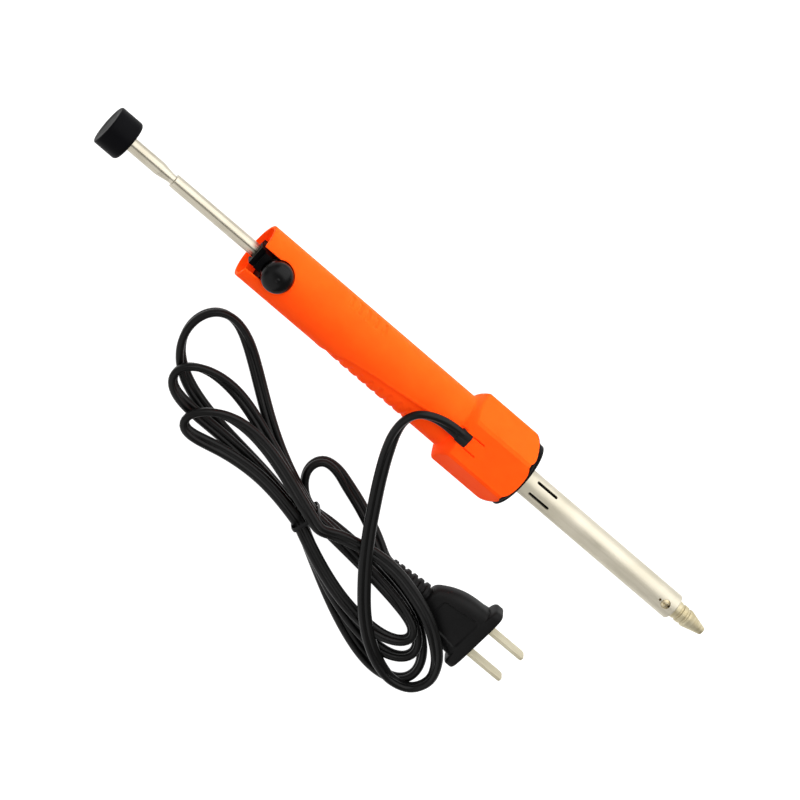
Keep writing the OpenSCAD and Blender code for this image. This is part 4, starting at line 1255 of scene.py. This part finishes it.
@dataclass
class HeatedEnd:
    """The vented steel tube, its set screw and the hollow nozzle."""

    rear: float = 16.9
    front: float = 100.1
    radius: float = 5.5
    bore: float = 5.0
    front_edge: float = 0.45
    vents: int = 6
    vent_x: Pair = (23.6, 34.0)
    vent_half: float = 0.65
    vent_turn: float = 18.0
    twist_x: Pair = (45.0, 80.0)
    screw_x: float = 95.3
    hole_r: float = 2.0
    sight_x: float = 92.4
    sight_r: float = 0.55
    screw_r: float = 1.92
    screw_edge: float = 4.95
    screw_rise: float = 0.65
    screw_deep: float = 0.9
    driver_half: float = 0.2
    driver_depth: float = 0.5
    driver_wall: float = 0.14
    rear_rows: tuple[float, ...] = (18.5, 20.2, 22.0)
    middle_rows: tuple[float, float, int] = (36, 90, 19)  # first, last and count
    front_rows: tuple[float, float, int] = (97.6, 99.4, 4)
    nozzle_x: Pair = (82.7, 115.8)
    nozzle_r: float = 3.75
    socket_r: float = 3.04
    socket_len: float = 8.0
    mouth_r: float = 0.9
    ring_grooves: tuple[Point, ...] = ((2.3, 3.3, 0.25), (5.3, 3.35, 0.3))  # place, floor and front fillet

    def half_gap(self, x: np.ndarray, k: int) -> np.ndarray:
        """Give half the width of the openings on one line of the tube.

        A vent is a slot with round ends; the top line also has the screw's hole and a small sight hole.

        Args:
            x: Places along the tube.
            k: Number of the line, 0 on top.

        Returns:
            Half the width, 0 where the tube is whole.
        """
        r = self.vent_half
        gap = half_round(np.maximum(np.maximum(self.vent_x[0] + r - x, x - self.vent_x[1] + r), 0), r)
        for at, hole in ((self.screw_x, self.hole_r), (self.sight_x, self.sight_r)) if k == 0 else ():
            gap = np.maximum(gap, half_round(x - at, hole))
        return np.where(gap < 1e-4, 0.0, gap)

    def stations(self) -> np.ndarray:
        """List the rows along the tube: close together round the openings and at the front edge.

        Returns:
            Their places, in order.
        """
        quarter, whole = np.sin(np.linspace(0, math.pi / 2, 9)), np.sin(np.linspace(-0.5, 0.5, 25) * math.pi)
        (x0, x1), r = self.vent_x, self.vent_half
        return np.unique(np.round(np.concatenate([
            [self.rear, *self.rear_rows], x0 + r - r * quarter, np.linspace(x0 + r, x1 - r, 9),
            x1 - r + r * quarter, np.linspace(*self.middle_rows), self.sight_x + self.sight_r * whole,
            self.screw_x + self.hole_r * whole, np.linspace(*self.front_rows),
            self.front - 0.5 + 0.5 * quarter]), 6))

    def tube(self) -> None:
        """Make the tube: strips of wall between the lines of openings, in and out, and the openings' edges.

        The lines start vent_turn from the top and wind back to it over twist_x, before the screw.
        """
        x = self.stations()
        wall = self.radius - edge_drop(self.front - x, self.front_edge)
        turn = TURN / self.vents
        t0, t1 = self.twist_x
        twist = math.radians(self.vent_turn) * (1 - ease((x - t0) / (t1 - t0)))
        t = np.linspace(0, 1, 15)
        gaps = [self.half_gap(x, k % self.vents) for k in range(self.vents + 1)]
        edges = [np.arcsin(gap / self.radius) for gap in gaps]
        strips, rims = [], []
        for k in range(self.vents):
            a0, a1 = twist + k * turn + edges[k], twist + (k + 1) * turn - edges[k + 1]
            angle = a0[:, None] + (a1 - a0)[:, None] * t
            out, into = (round_axis(x[:, None], r, angle) for r in (wall[:, None], self.bore))
            strips += [out, into]
            rims += [np.stack([out[i], into[i]]) for i in (0, -1)]
            for gap, j in ((gaps[k], 0), (gaps[k + 1], -1)):
                ends = np.flatnonzero(np.diff(np.concatenate([[0], gap > 0, [0]]).astype(int)))
                rims += [np.stack([out[a - 1:b + 1, j], into[a - 1:b + 1, j]], 1)
                         for a, b in zip(ends[::2], ends[1::2])]
        shell = joined(*(grid_surface(grid) for grid in strips + rims))
        make_piece("steel_tube", shell, TUBE_STEEL, "heater_tube", sharp=35.0)

    def screw(self) -> None:
        """Make the set screw: a low dome, edge + rise (1 - s^2), with a driver slot sunk along it."""
        s = np.concatenate([np.linspace(0, 0.96, 25), [1.0, 1.0]])[:, None]
        a = around(120)[None, :]
        x, y = self.screw_r * s * np.cos(a), self.screw_r * s * np.sin(a)
        slot = self.driver_depth * (1 - ease((np.abs(y) - self.driver_half) / self.driver_wall))
        z = self.screw_edge + self.screw_rise * (1 - s * s) - slot
        z[-1] = self.screw_edge - self.screw_deep
        grid = np.stack([self.screw_x + x, y, AXIS_H + z], -1)
        closed = np.concatenate([grid, np.broadcast_to(grid[-1].mean(0), (1, *grid[-1].shape))])
        make_piece("set_screw", grid_surface(closed, wrap_cols=True), SCREW_METAL, "nozzle_screw", sharp=40.0)

    def nozzle(self) -> None:
        """Make the nozzle: a turned shank with two ring grooves, a cone, a rounded mouth and its bore."""
        (x0, x1), f, r = self.nozzle_x, self.front, self.nozzle_r
        rings = [corner for at, floor, fillet in self.ring_grooves for corner in (
            (f + at, r, 0.25), (f + at + 0.2, floor, 0.15),
            (f + at + 1.0, floor, 0.15), (f + at + 1.2, r, fillet))]
        deep = x0 + self.socket_len
        outline = filleted([
            (x0, self.socket_r, 0), (x0, r, 0.3), *rings, (f + 7.5, r, 0.8), (x1 - 1.0, 1.85, 0.8),
            (x1, 1.55, 0.5), (x1, self.mouth_r, 0.25), (deep, self.mouth_r, 0), (deep, self.socket_r, 0)])
        make_piece("nozzle_tip", turned(outline, loop=True), NOZZLE_METAL, "nozzle", sharp=40.0)

    def build(self) -> None:
        """Make the tube, the screw and the nozzle."""
        self.tube()
        self.screw()
        self.nozzle()


@dataclass
class MainsPlug:
    """The moulded plug: ribbed strain relief, wedge-shaped body, flange and two flat blades."""

    middle: Point = (0.0, -62.6, 7.3)
    roll: float = 8.0
    relief_x: Pair = (7.5, 26.5)
    body_end: float = 49.2
    face: float = 54.0
    neck_half: float = 5.9
    swell: float = 6.3
    neck_high: float = 4.6
    half_high: float = 5.95
    high_share: float = 0.55
    neck_edge: Pair = (0.06, 0.14)  # share of the length, and of the size, that rounds the neck's end
    flange_half: float = 15.5
    powers: Point = (2.5, 3.2, 5.0)  # of the section at the neck, before the flange and on it
    columns: int = 240
    ribs: int = 6
    rib_r: Pair = (3.4, 4.5)
    core_r: Pair = (2.75, 3.5)
    rib_share: float = 0.52
    panel_x: Pair = (31.8, 48.4)
    panel_half: Pair = (5.2, 7.6)
    panel_depth: float = 0.6
    panel_corner: float = 1.5
    panel_wall: float = 0.55
    blade_apart: float = 12.7
    blade_x: Pair = (46.0, 72.3)
    blade_half: float = 3.15
    blade_thick: float = 1.5
    blade_corner: float = 1.5
    blade_edge: tuple[Pair, ...] = (  # share of the thickness, and how far the outline draws in
        (-0.5, 0.16), (-0.43, 0.05), (-0.34, 0.0), (0.34, 0.0), (0.43, 0.05), (0.5, 0.16))

    def body(self) -> Surface:
        """Shape the body and flange.

        A section at x is the superellipse |y/w|^n + |z/h|^n = 1. The half width w swells from the neck as
        1 - (1 - t)^3 and then steps out to the flange; a panel with round corners is sunk in the top and
        in the underside.

        Returns:
            The closed surface.
        """
        x0, x1 = self.relief_x[1], self.body_end
        run, size = self.neck_edge
        t = np.concatenate([[0, 0.01, 0.03], np.linspace(run, 1, 60)])
        edge = 1 - size + size * np.where(t < run, half_round(1 - t / run, 1), 1)
        w = (self.neck_half + self.swell * (1 - (1 - t) ** 3)) * edge
        h = (self.neck_high + (self.half_high - self.neck_high) * ease(t / self.high_share)) * edge
        f, face = self.flange_half, self.face
        flange = np.array([
            (x1 + 0.15, f - 2.6, 0), (x1 + 0.35, f - 1.4, 0), (x1 + 0.7, f - 0.6, 0), (x1 + 1.3, f - 0.1, 0),
            (x1 + 1.9, f, 0), (face - 1.0, f, 0), (face - 0.45, f - 0.2, 0.1), (face - 0.1, f - 0.6, 0.35),
            (face, f - 1.1, 0.8)])
        x = np.concatenate([x0 + (x1 - x0) * t, flange[:, 0]])[:, None]
        w = np.concatenate([w, flange[:, 1]])[:, None]
        h = np.concatenate([h, self.half_high - flange[:, 2]])[:, None]
        power = 2 / np.interp(x, (x0, x1 - 3, x1 + 1), self.powers)
        a = around(self.columns)[None, :]
        y, z = w * signed_power(np.cos(a), power), h * signed_power(np.sin(a), power)
        (p0, p1), half = self.panel_x, np.interp(x, self.panel_x, self.panel_half)
        deep = soft_min(soft_min(x - p0, p1 - x, self.panel_corner), half - np.abs(y), self.panel_corner)
        z = z - np.sign(z) * self.panel_depth * ease(deep / self.panel_wall)
        poles = [np.broadcast_to([[end, 0, 0]], (1, self.columns, 3)) for end in (x0, face)]
        grid = np.concatenate([poles[0], np.stack([x + 0 * y, y, z], -1), poles[1]])
        return grid_surface(grid + np.array(self.middle), wrap_cols=True)

    def relief(self) -> Surface:
        """Turn the strain relief: a tapering core with square ribs, each about half a pitch long.

        Returns:
            The closed surface.
        """
        x0, x1 = self.relief_x
        pitch = (x1 - x0) / self.ribs
        corners = []
        for i in range(self.ribs):
            rib, core = (np.interp(i, (0, self.ribs - 1), r) for r in (self.rib_r, self.core_r))
            a, b = x0 + i * pitch, x0 + (i + self.rib_share) * pitch
            corners += [(a + 0.05, core, 0.1), (a + 0.1, rib, 0.25), (b, rib, 0.25), (b + 0.05, core, 0.1)]
        outline = [(x0, 0, 0), *corners[1:], (x1 + 0.5, self.core_r[1], 0), (x1 + 0.5, 0, 0)]
        return turned(filleted(outline, 3), at=self.middle, count=64)

    def blade(self, side: int) -> Surface:
        """Cut one blade: an outline with a rounded end, carried through its thickness with eased edges.

        Args:
            side: -1 or 1, the side of the plug.

        Returns:
            The closed surface.
        """
        (x0, x1), half, r = self.blade_x, self.blade_half, self.blade_corner
        a = np.linspace(0, math.pi / 2, 9)
        top = np.stack([x1 - r + r * np.sin(a), half - r + r * np.cos(a)], -1)
        outline = np.concatenate([[[x0, -half], [x0, half]], top, top[::-1] * [1, -1]])
        share, inset = np.array(self.blade_edge).T
        depth = self.blade_thick * share[:, None]
        flat = outline - np.sign(outline - outline.mean(0)) * inset[:, None, None]
        y = self.middle[1] + side * self.blade_apart / 2 + depth + 0 * flat[..., 0]
        return capped(np.stack([flat[..., 0], y, self.middle[2] + flat[..., 1]], -1))

    def tilted(self, *parts: Surface) -> Surface:
        """Join parts and lay them over on the flange's edge, turned by roll about the plug's middle line.

        Args:
            parts: Surfaces of the level plug.

        Returns:
            One surface.
        """
        whole = joined(*parts)
        c, s = math.cos(math.radians(self.roll)), math.sin(math.radians(self.roll))
        y, z = (whole.points - self.middle)[:, 1:].T
        rolled = np.stack([y * c - z * s, y * s + z * c], -1) + self.middle[1:]
        return Surface(np.concatenate([whole.points[:, :1], rolled], 1), whole.faces)

    def build(self) -> list[bpy.types.Object]:
        """Make the plug's two pieces, the moulding and the blades."""
        blades = self.tilted(self.blade(-1), self.blade(1))
        return [make_piece("plug_moulding", self.tilted(self.body(), self.relief()), PLUG_PVC, "plug_body"),
                make_piece("contact_blades", blades, BLADE_METAL, "plug_blades")]


KEPT_SOLIDS: dict[str, Finish] = {
    "rear_guide": BLACK, "latch_plate": DARK_STEEL, "piston": BLACK, "piston_ring": RUBBER,
    "chamber_plug": BLACK, "pipe_seal": RUBBER, "suction_pipe": DARK_STEEL, "heater_former": CERAMIC,
    "heater_winding": SPRING_WIRE, "heater_sleeve": MICA_PAINTED_SHADE, "lead_wires": SLEEVING, "nozzle_bush": BRASS,
}
BUTTON_SEAT = (-108.5, 0.0, 20.2)
SPRINGS = (
    Spring("drive_coil", "main_spring", "plunger_slide", Axis.ALONG, base=(-91.2, 0.0, AXIS_H),
           seat=(-22.5, 0.0, AXIS_H), length=68.7, travel=53.0, radius=7.5, wire=1.1, turns=12,
           finish=SPRING_WIRE),
    Spring("button_coil", "trigger_spring", "trigger_press", Axis.UP, base=BUTTON_SEAT, seat=BUTTON_SEAT,
           length=5.5, travel=2.5, radius=5.3, wire=0.5, turns=4, finish=BLUED_WIRE),
)


def main() -> None:
    """Build the pieces in order."""
    logging.basicConfig(level=logging.INFO, format="%(message)s")
    Studio().build()
    MainsCord().build(MainsPlug().build())
    barrel = Barrel()
    collar = Collar(barrel)
    barrel.build()
    collar.build()
    collar.shield()
    for maker in (Plunger(), Latch(), HeatedEnd(), *SPRINGS):
        maker.build()
    for node, finish in KEPT_SOLIDS.items():
        dress_node(node, finish)


if __name__ == "__main__":
    main()
